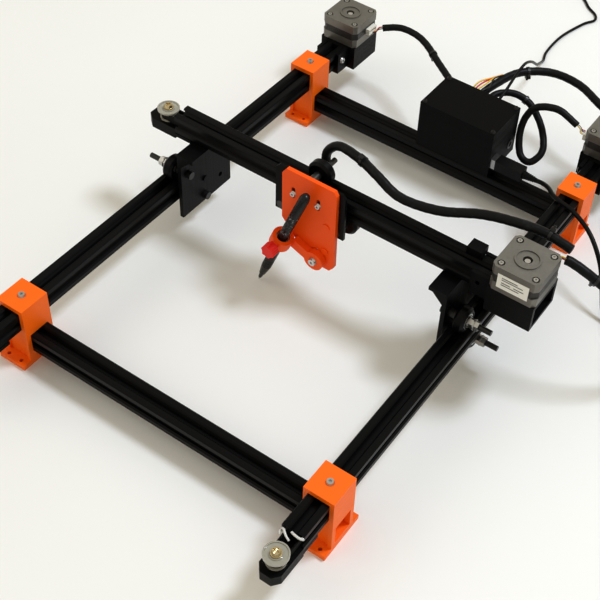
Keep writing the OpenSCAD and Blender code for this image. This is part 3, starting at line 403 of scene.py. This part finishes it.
def tube_mesh(path, radius, sides=14):
    """Closed tube; radius is a number or a function of (length along, angle)."""
    verts, faces, s = [], [], 0.0
    for i, (q, (a, b)) in enumerate(zip(path, frames(path))):
        if i:
            s += (q - path[i - 1]).length
        for k in range(sides):
            w = 2 * math.pi * k / sides
            r = radius(s, w) if callable(radius) else radius
            verts.append(q + (a * math.cos(w) + b * math.sin(w)) * r)
    n = len(path)
    for i in range(n - 1):
        for k in range(sides):
            j = (k + 1) % sides
            faces.append((i * sides + k, i * sides + j, (i + 1) * sides + j, (i + 1) * sides + k))
    faces.append(tuple(range(sides - 1, -1, -1)))
    faces.append(tuple(range((n - 1) * sides, n * sides)))
    return verts, faces


def lathe(profile, origin, axis, sides=40, closed=False):
    """Surface of revolution from (distance along axis, radius) pairs."""
    d = Vector(axis).normalized()
    a = d.orthogonal().normalized()
    b = d.cross(a)
    o = Vector(origin)
    verts, faces = [], []
    for t, r in profile:
        for k in range(sides):
            w = 2 * math.pi * k / sides
            verts.append(o + d * t + (a * math.cos(w) + b * math.sin(w)) * max(r, 0.00001))
    n = len(profile)
    for i in range(n if closed else n - 1):
        for k in range(sides):
            j = (k + 1) % sides
            i2 = (i + 1) % n
            faces.append((i * sides + k, i * sides + j, i2 * sides + j, i2 * sides + k))
    if not closed:
        faces.append(tuple(range(sides - 1, -1, -1)))
        faces.append(tuple(range((n - 1) * sides, n * sides)))
    return verts, faces


def join_parts(parts):
    """One list of vertices and faces from several."""
    verts, faces = [], []
    for v, f in parts:
        k = len(verts)
        verts += list(v)
        faces += [tuple(i + k for i in g) for g in f]
    return verts, faces


BOX_FACES = [(0, 2, 3, 1), (4, 5, 7, 6), (0, 1, 5, 4), (2, 6, 7, 3), (0, 4, 6, 2), (1, 3, 7, 5)]


def block(low, high):
    x0, y0, z0 = low
    x1, y1, z1 = high
    verts = [Vector((x, y, z)) for z in (z0, z1) for y in (y0, y1) for x in (x0, x1)]
    return verts, BOX_FACES


def mm(points):
    return [Vector(p) * MM for p in points]


# ---------------------------------------------------------------- cords

BOX_REAR = 248
OUTLET_Z = 76
LEFT_ROUTE = mm([
    (-8, BOX_REAR, OUTLET_Z), (-22, 257.5, 77), (-42, 271, 78), (-66, 287, 80), (-84, 294, 81),
    (-104, 295, 80), (-121, 287, 76.5), (-127.8, 282, 73)])
RIGHT_ROUTE = mm([
    (29, BOX_REAR, OUTLET_Z), (32, 264, 78), (46, 275, 78), (64, 277, 72), (84, 268, 58), (96, 252, 45),
    (91, 238, 37), (79, 239, 39), (70, 249, 53), (69, 258, 70), (77, 264, 83), (96, 270, 86),
    (114, 270, 80), (127.8, 270, 73)])
GANTRY_ROUTE = mm([
    (18, BOX_REAR, OUTLET_Z), (23, 274, 79), (34, 306, 80), (60, 327, 80), (92, 327, 80), (122, 314, 78),
    (150, 308, 70), (182, 307, 54), (214, 300, 33), (244, 280, 12), (266, 248, 4.6), (284, 214, 4.6),
    (299, 174, 4.6), (307, 135, 9), (305, 98, 34), (290, 68, 74), (262, 52, 108), (232, 46, 126),
    (212, 44, 132), (203, 38.2, 131.7)])
CARRIAGE_ROUTE = mm([
    (-7, 15.5, 74), (-10, 23, 82), (-15, 29, 100), (-17, 32.5, 117), (-17.5, 34.5, 132), (-5, 34.5, 144.5),
    (20, 29, 146.5), (40, 23, 144.5), (67, 19, 137), (100, 27, 135), (132, 41, 139), (160, 47, 142),
    (186, 51, 142), (212, 50, 139)])
USB_ROUTE = mm([
    (114.2, 203, 50), (122, 201, 52), (132, 192, 58), (145, 178, 63.6), (168, 171, 63.6), (192, 158, 60),
    (212, 144, 46), (224, 133, 26), (233, 125, 9), (246, 121, 2.6), (262, 120.6, 2.3)])
POWER_ROUTE = mm([
    (38, BOX_REAR, OUTLET_Z), (39.5, 266, 84), (37, 290, 87), (35, 314, 87), (33, 336, 76), (28, 364, 54),
    (19, 392, 34), (10, 420, 15), (4, 444, 1.9), (-1, 463, 1.7), (-1, 500, 1.7), (8, 539, 1.7),
    (15.5, 555, 1.7), (11, 566, 1.7), (-2, 575, 1.7), (-15, 588, 1.7), (-32, 598, 1.6)])


USB_COIL = (262, 150)
USB_R = 0.0022
POWER_COIL = (-32, 617.5)
POWER_R = 0.0015
MOTOR_STEP = 0.0014
MOTOR_GAP = 0.0085


def coil_path(centre, start_angle, way, rows):
    """Turns of a coil; rows holds the radius and height of each turn, and the path eases between them."""
    out = []
    per = 40
    for k, (r, h) in enumerate(rows):
        r1, h1 = rows[min(k + 1, len(rows) - 1)]
        for j in range(per):
            t = j / per
            ease = max(0.0, (t - 0.7) / 0.3)
            ease = ease * ease * (3 - 2 * ease)
            w = start_angle + way * 2 * math.pi * t
            rr = (r + (r1 - r) * ease) * MM
            out.append(Vector((centre[0] * MM + rr * math.cos(w), centre[1] * MM + rr * math.sin(w),
                               (h + (h1 - h) * ease) * MM)))
    return out


def last_half_turn(centre, way, r, height, drop):
    """End of a coil that starts at its near side; it sinks a little on the way to the plug."""
    out = []
    for j in range(1, 21):
        w = -math.pi / 2 + way * math.pi * j / 20
        out.append(Vector((centre[0] * MM + r * math.cos(w), centre[1] * MM + r * math.sin(w),
                           height - drop * (j / 20) ** 2)))
    return out


def wrap_radius(r, pitch=0.009, ridge=0.05, seed=0):
    """Spiral-wrapped sleeve: an overlap that steps along a helix, with a little unevenness."""
    rnd = random.Random(seed)
    waves = [(rnd.uniform(40, 160), rnd.uniform(0, 6.28), rnd.uniform(0.004, 0.012)) for _ in range(5)]

    def radius(s, w):
        f = (s / pitch + w / (2 * math.pi)) % 1.0
        uneven = sum(a * math.sin(k * s + p) for k, p, a in waves)
        return r * (1 - ridge / 2 + ridge * f + uneven)
    return radius


def free_end(points, keep):
    """Cuts the path off a given length from its end."""
    total, out, s = length_of(points), [points[0]], 0.0
    for a, b in zip(points, points[1:]):
        s += (b - a).length
        if s > total - keep:
            break
        out.append(b)
    return out


def rest_on_table(path, r):
    """Keeps a cord of radius r from sinking into the table."""
    for q in path:
        q.z = max(q.z, r + 0.0001)
    return path


def cord_piece(name, path, radius, material, node, body, sides=14):
    verts, faces = tube_mesh(path, radius, sides)
    obj = piece(name, verts, faces, material, body, "cord_black")
    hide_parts(node)
    return obj


def wires(name, start, heading, end, arrive, colours, body, spread=0.0009, r=0.00055):
    """Short bare wires from a sleeve's end to a plug, one object per colour."""
    made = []
    d0, d1 = Vector(heading).normalized(), Vector(arrive).normalized()
    gap = (Vector(end) - Vector(start)).length
    side = d1.cross(Vector((0, 0, 1))).normalized()
    for k, c in enumerate(colours):
        off = (k - (len(colours) - 1) / 2)
        a = Vector(start) - d0 * 0.006 + side * off * spread * 0.7 + Vector((0, 0, (k % 2 - 0.5) * 0.0012))
        b = Vector(end) + side * off * spread * 2.2
        mid0 = a + d0 * (0.006 + gap * 0.4) + Vector((0, 0, 0.001 * (k % 3)))
        mid1 = b - d1 * gap * 0.3
        path = spline([a, mid0, mid1, b], 0.002)
        verts, faces = tube_mesh(path, r, 8)
        made.append(piece(f"{name}_{k}", verts, faces, "wire_" + c, body, "cord_black"))
    return made


def tie_band(name, path, at, r, body, material="tie", width=0.0026, tail=0.008, turn=0.0):
    """Cable tie round a sleeve: band, square head and a cut tail."""
    i = min(range(len(path)), key=lambda k: abs(k / (len(path) - 1) - at))
    a, b = frames(path)[i]
    t = a.cross(b)
    t = t if t.dot(path[min(i + 1, len(path) - 1)] - path[max(i - 1, 0)]) > 0 else -t
    q = path[i]
    ring, faces = lathe([(-width / 2, r), (-width / 2, r + 0.0008), (width / 2, r + 0.0008), (width / 2, r)],
                        q, t, 28, True)
    out = a * math.cos(turn) + b * math.sin(turn)
    side = t.cross(out)
    c = q + out * (r + 0.0018)
    head = [c + out * x * 0.0014 + side * y * 0.0024 + t * z * 0.0024
            for z in (-1, 1) for y in (-1, 1) for x in (-1, 1)]
    c2 = c + side * 0.002 + out * tail / 2
    stub = [c2 + out * x * tail / 2 + side * y * 0.0005 + t * z * 0.0011
            for z in (-1, 1) for y in (-1, 1) for x in (-1, 1)]
    verts, faces = join_parts([(ring, faces), (head, BOX_FACES), (stub, BOX_FACES)])
    return piece(name, verts, faces, material, body, "cord_black", smooth=False)


def make_cords():
    wrap, harness = 0.0036, 0.0042
    # left motor
    full = spline(LEFT_ROUTE, MOTOR_STEP)
    path = free_end(full, MOTOR_GAP)
    obj = cord_piece("sleeve_left", path, wrap_radius(wrap, seed=1), "sleeve", "motor_cable_left", "frame")
    w = wires("left_wire", path[-1], path[-1] - path[-4], full[-1], (-1, 0, 0),
              ["black", "red", "yellow", "white"], "frame")
    t = tie_band("left_tie", path, 0.42, wrap, "frame", tail=0.003, turn=1.0)
    # right motor
    full = spline(RIGHT_ROUTE, MOTOR_STEP)
    path = free_end(full, MOTOR_GAP)
    obj = cord_piece("sleeve_right", path, wrap_radius(wrap, seed=2), "sleeve", "motor_cable_right", "frame")
    w = wires("right_wire", path[-1], path[-1] - path[-4], full[-1], (1, 0, 0),
              ["red", "black", "white", "yellow"], "frame")
    t = tie_band("right_tie", path, 0.2, wrap, "frame", tail=0.003, turn=2.0)
    # gantry harness
    full = rest_on_table(spline(GANTRY_ROUTE, 0.0016), harness * 1.05)
    path = free_end(full, 0.009)
    obj = cord_piece("sleeve_gantry", path, wrap_radius(harness, seed=3), "sleeve", "gantry_cable", None)
    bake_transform(obj)
    w = wires("gantry_wire", path[-1], path[-1] - path[-4], full[-1], (0, -1, 0),
              ["red", "yellow", "white", "black"], "gantry")
    ties = [tie_band("gantry_tie_a", path, 0.105, harness, "frame", tail=0.004, turn=1.2),
            tie_band("gantry_tie_b", path, 0.955, harness, "gantry", tail=0.005, turn=0.4)]
    # carriage cable
    path = spline(CARRIAGE_ROUTE, 0.0014)
    obj = cord_piece("sleeve_carriage", path, wrap_radius(harness, seed=4), "sleeve", "carriage_cable", None)
    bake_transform(obj)
    ties = [tie_band("carriage_tie_a", path, 0.36, harness, "carriage", tail=0.002, turn=2.6),
            tie_band("carriage_tie_b", path, 0.93, harness, "gantry", tail=0.004, turn=1.6)]
    # USB lead: over the right side rail to the floor, spare length in a coil
    rows = [(29.4, 2.3), (25, 2.3), (20.6, 2.3), (22.8, 6.1), (27.2, 6.1)]
    path = spline(USB_ROUTE, 0.003)[:-1] + coil_path(USB_COIL, -math.pi / 2, 1, rows)
    path += last_half_turn(USB_COIL, 1, 0.0272, 0.0061, 0.0018)
    path.append(path[-1] + Vector((-0.008, 0, -0.0002)))
    path = rest_on_table(resample(path, 0.0022), USB_R)
    obj = cord_piece("usb_cord", path, USB_R, "lead", "usb_lead", "frame", 12)
    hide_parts("usb_coil")
    plug = usb_end(path[-1])
    tie = coil_tie("usb_tie", USB_COIL, math.radians(200), 19, 33, 0, 8.6, 5)
    start = usb_boot()
    # power lead: along the floor behind, spare length in a coil
    rows = [(19.5, 1.6), (16.5, 1.6), (13.5, 1.6), (15, 4.2), (18, 4.2), (16.5, 6.8)]
    path = spline(POWER_ROUTE, 0.003)[:-1] + coil_path(POWER_COIL, -math.pi / 2, -1, rows)
    path += last_half_turn(POWER_COIL, -1, 0.0165, 0.0068, 0.0016)
    path.append(path[-1] + Vector((0.007, 0, -0.0002)))
    path = rest_on_table(resample(path, 0.0018), POWER_R)
    obj = cord_piece("power_cord", path, POWER_R, "lead", "power_lead", "frame", 12)
    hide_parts("power_coil")
    plug = power_end(path[-1])
    tie = coil_tie("power_tie", POWER_COIL, math.radians(20), 11.5, 21.5, 0, 8.6, 4)


def coil_tie(name, centre, angle, r0, r1, z0, z1, width):
    """Flat strap round a coil's bundle."""
    d = Vector((math.cos(angle), math.sin(angle), 0))
    c = Vector((centre[0] * MM, centre[1] * MM, 0))
    mid = c + d * (r0 + r1) / 2 * MM + Vector((0, 0, (z0 + z1) / 2 * MM + 0.0002))
    hw, hh = (r1 - r0) / 2 * MM, (z1 - z0) / 2 * MM
    loop, n = [], 36
    for k in range(n):
        w = 2 * math.pi * k / n
        sx = math.copysign(abs(math.cos(w)) ** 0.5, math.cos(w))
        sz = math.copysign(abs(math.sin(w)) ** 0.5, math.sin(w))
        loop.append((sx, sz))
    verts, faces = [], []
    side = d.cross(Vector((0, 0, 1)))
    for thick, s in ((0.0, -1), (0.0007, -1), (0.0007, 1), (0.0, 1)):
        for sx, sz in loop:
            p = mid + d * sx * (hw + thick) + Vector((0, 0, 1)) * sz * (hh + thick)
            p.z = max(p.z, 0.0001)
            verts.append(p + side * s * width / 2 * MM)
    for i in range(4):
        for k in range(n):
            j = (k + 1) % n
            i2 = (i + 1) % 4
            faces.append((i * n + k, i * n + j, i2 * n + j, i2 * n + k))
    return piece(name, verts, faces, "tie", "frame", "cord_black")


def usb_boot():
    """Moulded USB plug at the box, with a grooved grip and a tapered strain relief."""
    x0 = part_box("usb_plug")[0].x
    body = block((x0 - 0.0050, 0.1967, 0.0443), (x0 + 0.024, 0.2093, 0.0557))
    grips = [block((x0 + 0.006 + 0.003 * k, 0.1966, 0.0442), (x0 + 0.0074 + 0.003 * k, 0.2094, 0.0558))
             for k in range(4)]
    profile = [(0, 0.0042), (0.002, 0.0042)]
    for k in range(5):
        t = k / 5
        r = 0.0040 - 0.0013 * t
        profile += [(0.002 + 0.0022 * k, r), (0.0032 + 0.0022 * k, r), (0.0033 + 0.0022 * k, r - 0.0006),
                    (0.0041 + 0.0022 * k, r - 0.0006)]
    profile += [(0.0142, 0.0025)]
    relief = lathe(profile, (x0 + 0.0238, 0.203, 0.050), (1, 0, 0), 24)
    verts, faces = join_parts([body, *grips, relief])
    obj = piece("usb_plug_shell", verts, faces, "plug", "frame", "cord_black", smooth=False, edge=0.0005)
    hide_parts("usb_plug")
    return obj


def usb_end(at):
    """Plug on the lead's free end: metal tongue, moulded body and a tapered relief, pointing -X."""
    x, y, z = at.x, at.y, 0.0043
    relief = lathe([(0, 0.0024), (0.004, 0.0026), (0.010, 0.0036), (0.0105, 0.0036)], (x + 0.001, y, z),
                   (-1, 0, 0), 20)
    grip = block((x - 0.032, y - 0.0078, 0.0004), (x - 0.009, y + 0.0078, 0.0080))
    verts, faces = join_parts([relief, grip])
    obj = piece("usb_end_grip", verts, faces, "plug", "frame", "cord_black", smooth=False, edge=0.0008)
    shell = block((x - 0.044, y - 0.006, 0.0020), (x - 0.031, y + 0.006, 0.0064))
    tongue = piece("usb_end_shell", *shell, "metal", "frame", "connector_metal", smooth=False, edge=0.0003)
    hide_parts("usb_end_plug")
    tongue.parent = obj
    tongue.matrix_parent_inverse = Matrix.Identity(4)
    return obj


def power_end(at):
    """Round plug on the power lead's end, pointing +X."""
    x, y, z = at.x, at.y, 0.0052
    profile = [(0, 0.0016), (0.006, 0.0024), (0.0065, 0.0048), (0.009, 0.0050)]
    for k in range(5):
        profile += [(0.010 + 0.002 * k, 0.0050), (0.0104 + 0.002 * k, 0.0044), (0.0112 + 0.002 * k, 0.0044),
                    (0.0116 + 0.002 * k, 0.0050)]
    profile += [(0.0245, 0.0050), (0.025, 0.0045), (0.0252, 0.0029)]
    verts, faces = lathe(profile, (x - 0.001, y, z), (1, 0, 0), 28)
    obj = piece("power_end_grip", verts, faces, "plug", "frame", "cord_black")
    ring = lathe([(0, 0.0027), (0.009, 0.0027), (0.0095, 0.0024), (0.0095, 0.0014), (0.002, 0.0014)],
                 (x + 0.024, y, z), (1, 0, 0), 24)
    tip = piece("power_end_tip", *ring, "metal", "frame", "connector_metal")
    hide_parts("power_end_plug")
    tip.parent = obj
    tip.matrix_parent_inverse = Matrix.Identity(4)
    return obj


make_cords()


# ---------------------------------------------------------------- finishes of the CAD nodes

FINISH = {
    "side_rails": ("rail_y", 0.0003), "cross_rails": ("rail_x", 0.0003), "beam": ("rail_x", 0.0003),
    # The pen plate and arm take the orange with painted shade in its base colour.
    "corner_brackets": ("orange", 0.0006), "pen_plate": ("orange_flat_painted_shade", 0.0007),
    "pen_arm": ("orange_flat_painted_shade", 0.0006),
    "frame_fasteners": ("fasteners", 0.0002),
    "gantry_screws": ("steel", 0.0002), "pen_screws": ("steel", 0.0002),
    "gantry_wheel_bolts": ("wheel_bolts", 0.0002), "carriage_bolts": ("dark_steel", 0.0002),
    "idler_mounts": ("black", 0.0005), "beam_idler_mount": ("black", 0.0005),
    "motor_mounts": ("black", 0.0007), "beam_motor_mount": ("black", 0.0007),
    "gantry_plates": ("black_flat", 0.0006), "belt_clamps": ("black", 0.0004),
    "beam_block": ("black", 0.0006),
    "carriage_plate": ("black_flat", 0.0006), "carriage_belt_clamp": ("black", 0.0004),
    "box_base": ("box", 0.0007), "box_lid": ("box", 0.0006), "control_boards": ("board", 0.0002),
    "box_sockets": ("sockets", 0.0002),
    "idler_axles": ("brass", 0.0002), "beam_idler_axle": ("brass", 0.0002),
    "idler_left": ("disc", 0.0002), "idler_right": ("disc", 0.0002), "beam_idler": ("disc", 0.0002),
    "side_motors": ("motor_side", 0.0004), "beam_motor": ("motor_beam", 0.0004),
    "side_motor_sockets": ("white", 0.0003), "beam_motor_socket": ("white", 0.0003),
    "servo_horn": ("white", 0.0003), "servo_body": ("servo", 0.0004),
    "motor_left_shaft": ("steel", 0.0002), "motor_right_shaft": ("steel", 0.0002),
    "beam_motor_shaft": ("steel", 0.0002),
    "wheels_front": ("wheel", 0.0003), "wheels_rear": ("wheel", 0.0003), "wheels_low": ("wheel", 0.0003),
    "carriage_wheel_top": ("wheel", 0.0003), "carriage_wheel_left": ("wheel", 0.0003),
    "carriage_wheel_right": ("wheel", 0.0003),
    "clamp_knob": ("red", 0.0005),
}


def finish_nodes():
    for node, (material, edge) in FINISH.items():
        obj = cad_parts[node]
        obj.data.materials.clear()
        obj.data.materials.append(M[material])
        soften(obj, edge)


finish_nodes()


# ---------------------------------------------------------------- belts, pen and small detail

def belt(name, body, centre, along, start, end):
    """Toothed belt loop: smooth back outside, teeth inside. along is the belt's direction."""
    off, thick, tooth, half, pitch = 0.00635, 0.0007, 0.00075, 0.003, 0.002
    d = Vector(along)
    s = d.cross(Vector((0, 0, 1)))
    c = Vector(centre)
    straight = end - start
    total = 2 * straight + 2 * math.pi * off
    per_tooth = 6
    fine = int(total / pitch) * per_tooth
    verts, faces = [], []
    for i in range(fine):
        u = total * i / fine
        if u < straight:
            p, out = c + d * (start + u) + s * off, s
        elif u < straight + math.pi * off:
            w = (u - straight) / off
            out = s * math.cos(w) + d * math.sin(w)
            p = c + d * end + out * off
        elif u < 2 * straight + math.pi * off:
            p, out = c + d * (end - (u - straight - math.pi * off)) - s * off, -s
        else:
            w = (u - 2 * straight - math.pi * off) / off
            out = -s * math.cos(w) - d * math.sin(w)
            p = c + d * start + out * off
        deep = tooth if i % per_tooth < per_tooth // 2 else 0.0
        for z in (-half, half):
            verts.append(p + out * thick / 2 + Vector((0, 0, z)))
            verts.append(p - out * (thick / 2 + deep) + Vector((0, 0, z)))
    for i in range(fine):
        a, b = i * 4, ((i + 1) % fine) * 4
        faces += [(a, b, b + 2, a + 2), (a + 1, a + 3, b + 3, b + 1)]
        faces += [(a, a + 1, b + 1, b), (a + 2, b + 2, b + 3, a + 3)]
    return piece(name, verts, faces, "belt", body, "belt_rubber", smooth=False)


def make_belts():
    b = belt("belt_left", "frame", (-0.155, 0, 0.051), (0, 1, 0), -0.270, 0.276)
    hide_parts("side_belts")
    belt("belt_right", "frame", (0.155, 0, 0.051), (0, 1, 0), -0.270, 0.276)
    b = belt("belt_beam", "gantry", (0, 0.011, 0.110), (1, 0, 0), -0.177, 0.191)
    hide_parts("beam_belt")


TIP = Vector((-0.0483, -0.0234, 0.0005))
LEAN = math.radians(20.6)
PEN_AXIS = Vector((math.sin(LEAN), 0, math.cos(LEAN)))


def make_pen():
    """Marker pen: grip rings above the tip, a long barrel and a domed end."""
    mid = [(0.004, 0.0016), (0.0115, 0.0024), (0.012, 0.0030), (0.0235, 0.0044)]
    for k in range(6):
        z = 0.026 + 0.0022 * k
        mid += [(z, 0.00455), (z + 0.0003, 0.0042), (z + 0.0009, 0.0042), (z + 0.0012, 0.00455)]
    mid += [(0.042, 0.0046), (0.1365, 0.0046), (0.1372, 0.0043), (0.139, 0.0041),
            (0.1408, 0.0034), (0.1417, 0.0020), (0.142, 0.0005)]
    verts, faces = lathe(mid, (0, 0, 0), (0, 0, 1), 40)
    mesh = bpy.data.meshes.new("pen")
    mesh.from_pydata([tuple(v) for v in verts], [], faces)
    mesh.materials.append(M["pen"])
    obj = bpy.data.objects.new("pen", mesh)
    bpy.context.scene.collection.objects.link(obj)
    turn = Matrix.Rotation(LEAN, 4, "Y")
    obj.matrix_world = Matrix.Translation(TIP) @ turn
    soften(obj, 0.0001, 1)
    finish_piece(obj, "pen_arm")
    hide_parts("pen_barrel", "pen_nib")
    verts, faces = lathe([(0.0003, 0.0004), (0.0008, 0.0007), (0.0042, 0.0012)], TIP, PEN_AXIS, 20)
    piece("pen_point", verts, faces, "metal", "pen_arm", "pen_black")


def flat_ring(origin, axis, r0, r1, thick):
    return lathe([(0, r0), (thick, r0), (thick, r1), (0, r1)], origin, axis, 32, True)


def bearing(name, body, centre, axis, half=0.0051):
    """Steel and shield rings of the ball bearings in a wheel's two faces."""
    parts, shields = [], []
    d = Vector(axis)
    for s in (-1, 1):
        o = Vector(centre) + d * s * (half - 0.0008)
        parts.append(flat_ring(o, d * s, 0.0062, 0.0074, 0.0005))
        parts.append(flat_ring(o, d * s, 0.0046, 0.0054, 0.0006))
        shields.append(flat_ring(o, d * s, 0.0054, 0.0062, 0.0003))
    verts, faces = join_parts(parts)
    piece(name, verts, faces, "steel", body, "shaft_steel", smooth=False)
    verts, faces = join_parts(shields)
    piece(name + "_shield", verts, faces, "plug", body, "wheel_black", smooth=False)


def make_bearings():
    for x in (-0.155, 0.155):
        side = "l" if x < 0 else "r"
        bearing("bearing_front_" + side, "wheels_front", (x, -0.011, 0.07146), (1, 0, 0))
        bearing("bearing_rear_" + side, "wheels_rear", (x, 0.033, 0.07146), (1, 0, 0))
        bearing("bearing_low_" + side, "wheels_low", (x, 0.011, 0.03054), (1, 0, 0))
    bearing("bearing_top", "carriage_wheel_top", (-0.007, 0.011, 0.13046), (0, 1, 0))
    bearing("bearing_left", "carriage_wheel_left", (-0.036, 0.011, 0.08954), (0, 1, 0))
    bearing("bearing_right", "carriage_wheel_right", (0.022, 0.011, 0.08954), (0, 1, 0))


def make_label():
    """Blank paper label on the gantry motor's front face, with a few plain grey bars."""
    motor_x, motor_y, motor_z, motor_half = 0.191, 0.011, 0.1205, 0.02115
    y = motor_y - motor_half - 0.0001
    cx, cz = motor_x, motor_z + 0.0125
    w, h = 0.0140, 0.0075
    n = 12
    verts, faces = [], []
    for i in range(n + 1):
        for j in (0, 1):
            verts.append(Vector((cx - w + 2 * w * i / n, y - 0.0002, cz - h + 2 * h * j)))
    for i in range(n):
        faces.append((2 * i, 2 * i + 2, 2 * i + 3, 2 * i + 1))
    obj = piece("motor_label", verts, faces, "paper", "gantry", "socket_white", smooth=False)
    mod = obj.modifiers.new("thick", "SOLIDIFY")
    mod.thickness = 0.0002
    bars = [block((cx + a, y - 0.00045, cz + b), (cx + a + wide, y - 0.0003, cz + b + 0.0007))
            for a, b, wide in ((-0.010, 0.0040, 0.014), (-0.010, 0.0020, 0.019), (-0.010, -0.0012, 0.008),
                               (0.001, -0.0012, 0.009), (-0.010, -0.0034, 0.016))]
    verts, faces = join_parts(bars)
    piece("motor_label_bars", verts, faces, "grey_bar", "gantry", "socket_white", smooth=False)


def make_strands():
    """Ends of the white ties at the front end of the right side rail."""
    def strand(name, pts, r):
        path = spline(mm(pts), 0.001)
        verts, faces = tube_mesh(path, r, 10)
        piece(name, verts, faces, "strand", "frame", "clear_white")

    z = 51
    strand("tie_end_a", [(146, -251, z + 6), (149, -253, z + 9.5), (153, -256, z + 9),
                         (157, -257.5, z + 7.5)], 0.0009)
    strand("tie_end_b", [(163.5, -250.8, z + 8), (165.5, -252.2, z + 10.2), (163, -253.6, z + 11.4),
                         (158.5, -253, z + 11), (155, -251.6, z + 9.5)], 0.0010)
    strand("tie_end_c", [(147, -250.6, z + 3), (146, -253.5, z + 6), (148, -256, z + 5.5)], 0.0008)


def make_wire_bundle():
    """Thin coloured wires that rise from the box's rear wall before they enter the sleeves."""
    for k, (x, colour) in enumerate(((10, "yellow"), (13, "red"), (16, "yellow"), (21, "black"))):
        pts = [(x - 3, 246.5, 74 + 1.2 * k), (x - 1, 252, 80 + k), (x + 2, 262, 85 - k * 0.4),
               (19 + k * 0.6, 276, 84.6), (24 + k * 0.4, 288, 83.6)]
        path = spline(mm(pts), 0.0015)
        verts, faces = tube_mesh(path, 0.0008, 8)
        piece(f"box_wire_{k}", verts, faces, "wire_" + colour, "frame", "cord_black")


make_belts()
make_pen()
make_bearings()
make_label()
make_strands()
make_wire_bundle()


# ---------------------------------------------------------------- floor and light

def make_stage():
    size = 6.0
    mesh = bpy.data.meshes.new("floor")
    corners = [(-size, -size, 0), (size, -size, 0), (size, size, 0), (-size, size, 0)]
    mesh.from_pydata(corners, [], [(0, 1, 2, 3)])
    mesh.materials.append(floor_material())
    floor = bpy.data.objects.new("floor", mesh)
    bpy.context.scene.collection.objects.link(floor)
    world = bpy.data.worlds.new("studio")
    bpy.context.scene.world = world
    world.use_nodes = True
    background = world.node_tree.nodes["Background"]
    background.inputs["Color"].default_value = (1.0, 0.95, 0.81, 1)
    background.inputs["Strength"].default_value = 0.73

    def lamp(name, at, aim, size, power, colour):
        data = bpy.data.lights.new(name, "AREA")
        data.shape = "DISK"
        data.size = size
        data.energy = power
        data.color = colour
        obj = bpy.data.objects.new(name, data)
        bpy.context.scene.collection.objects.link(obj)
        obj.location = at
        obj.rotation_euler = (Vector(aim) - Vector(at)).to_track_quat("-Z", "Y").to_euler()

    lamp("key", (0.95, 0.80, 2.4), (0, 0, 0), 0.6, 41, (0.80, 0.88, 1.0))
    lamp("fill", (-1.6, -1.2, 1.8), (0, 0, 0.05), 1.6, 6, (1.0, 0.97, 0.92))
    bpy.context.scene.view_settings.view_transform = "Standard"
    bpy.context.scene.view_settings.gamma = 0.83


make_stage()
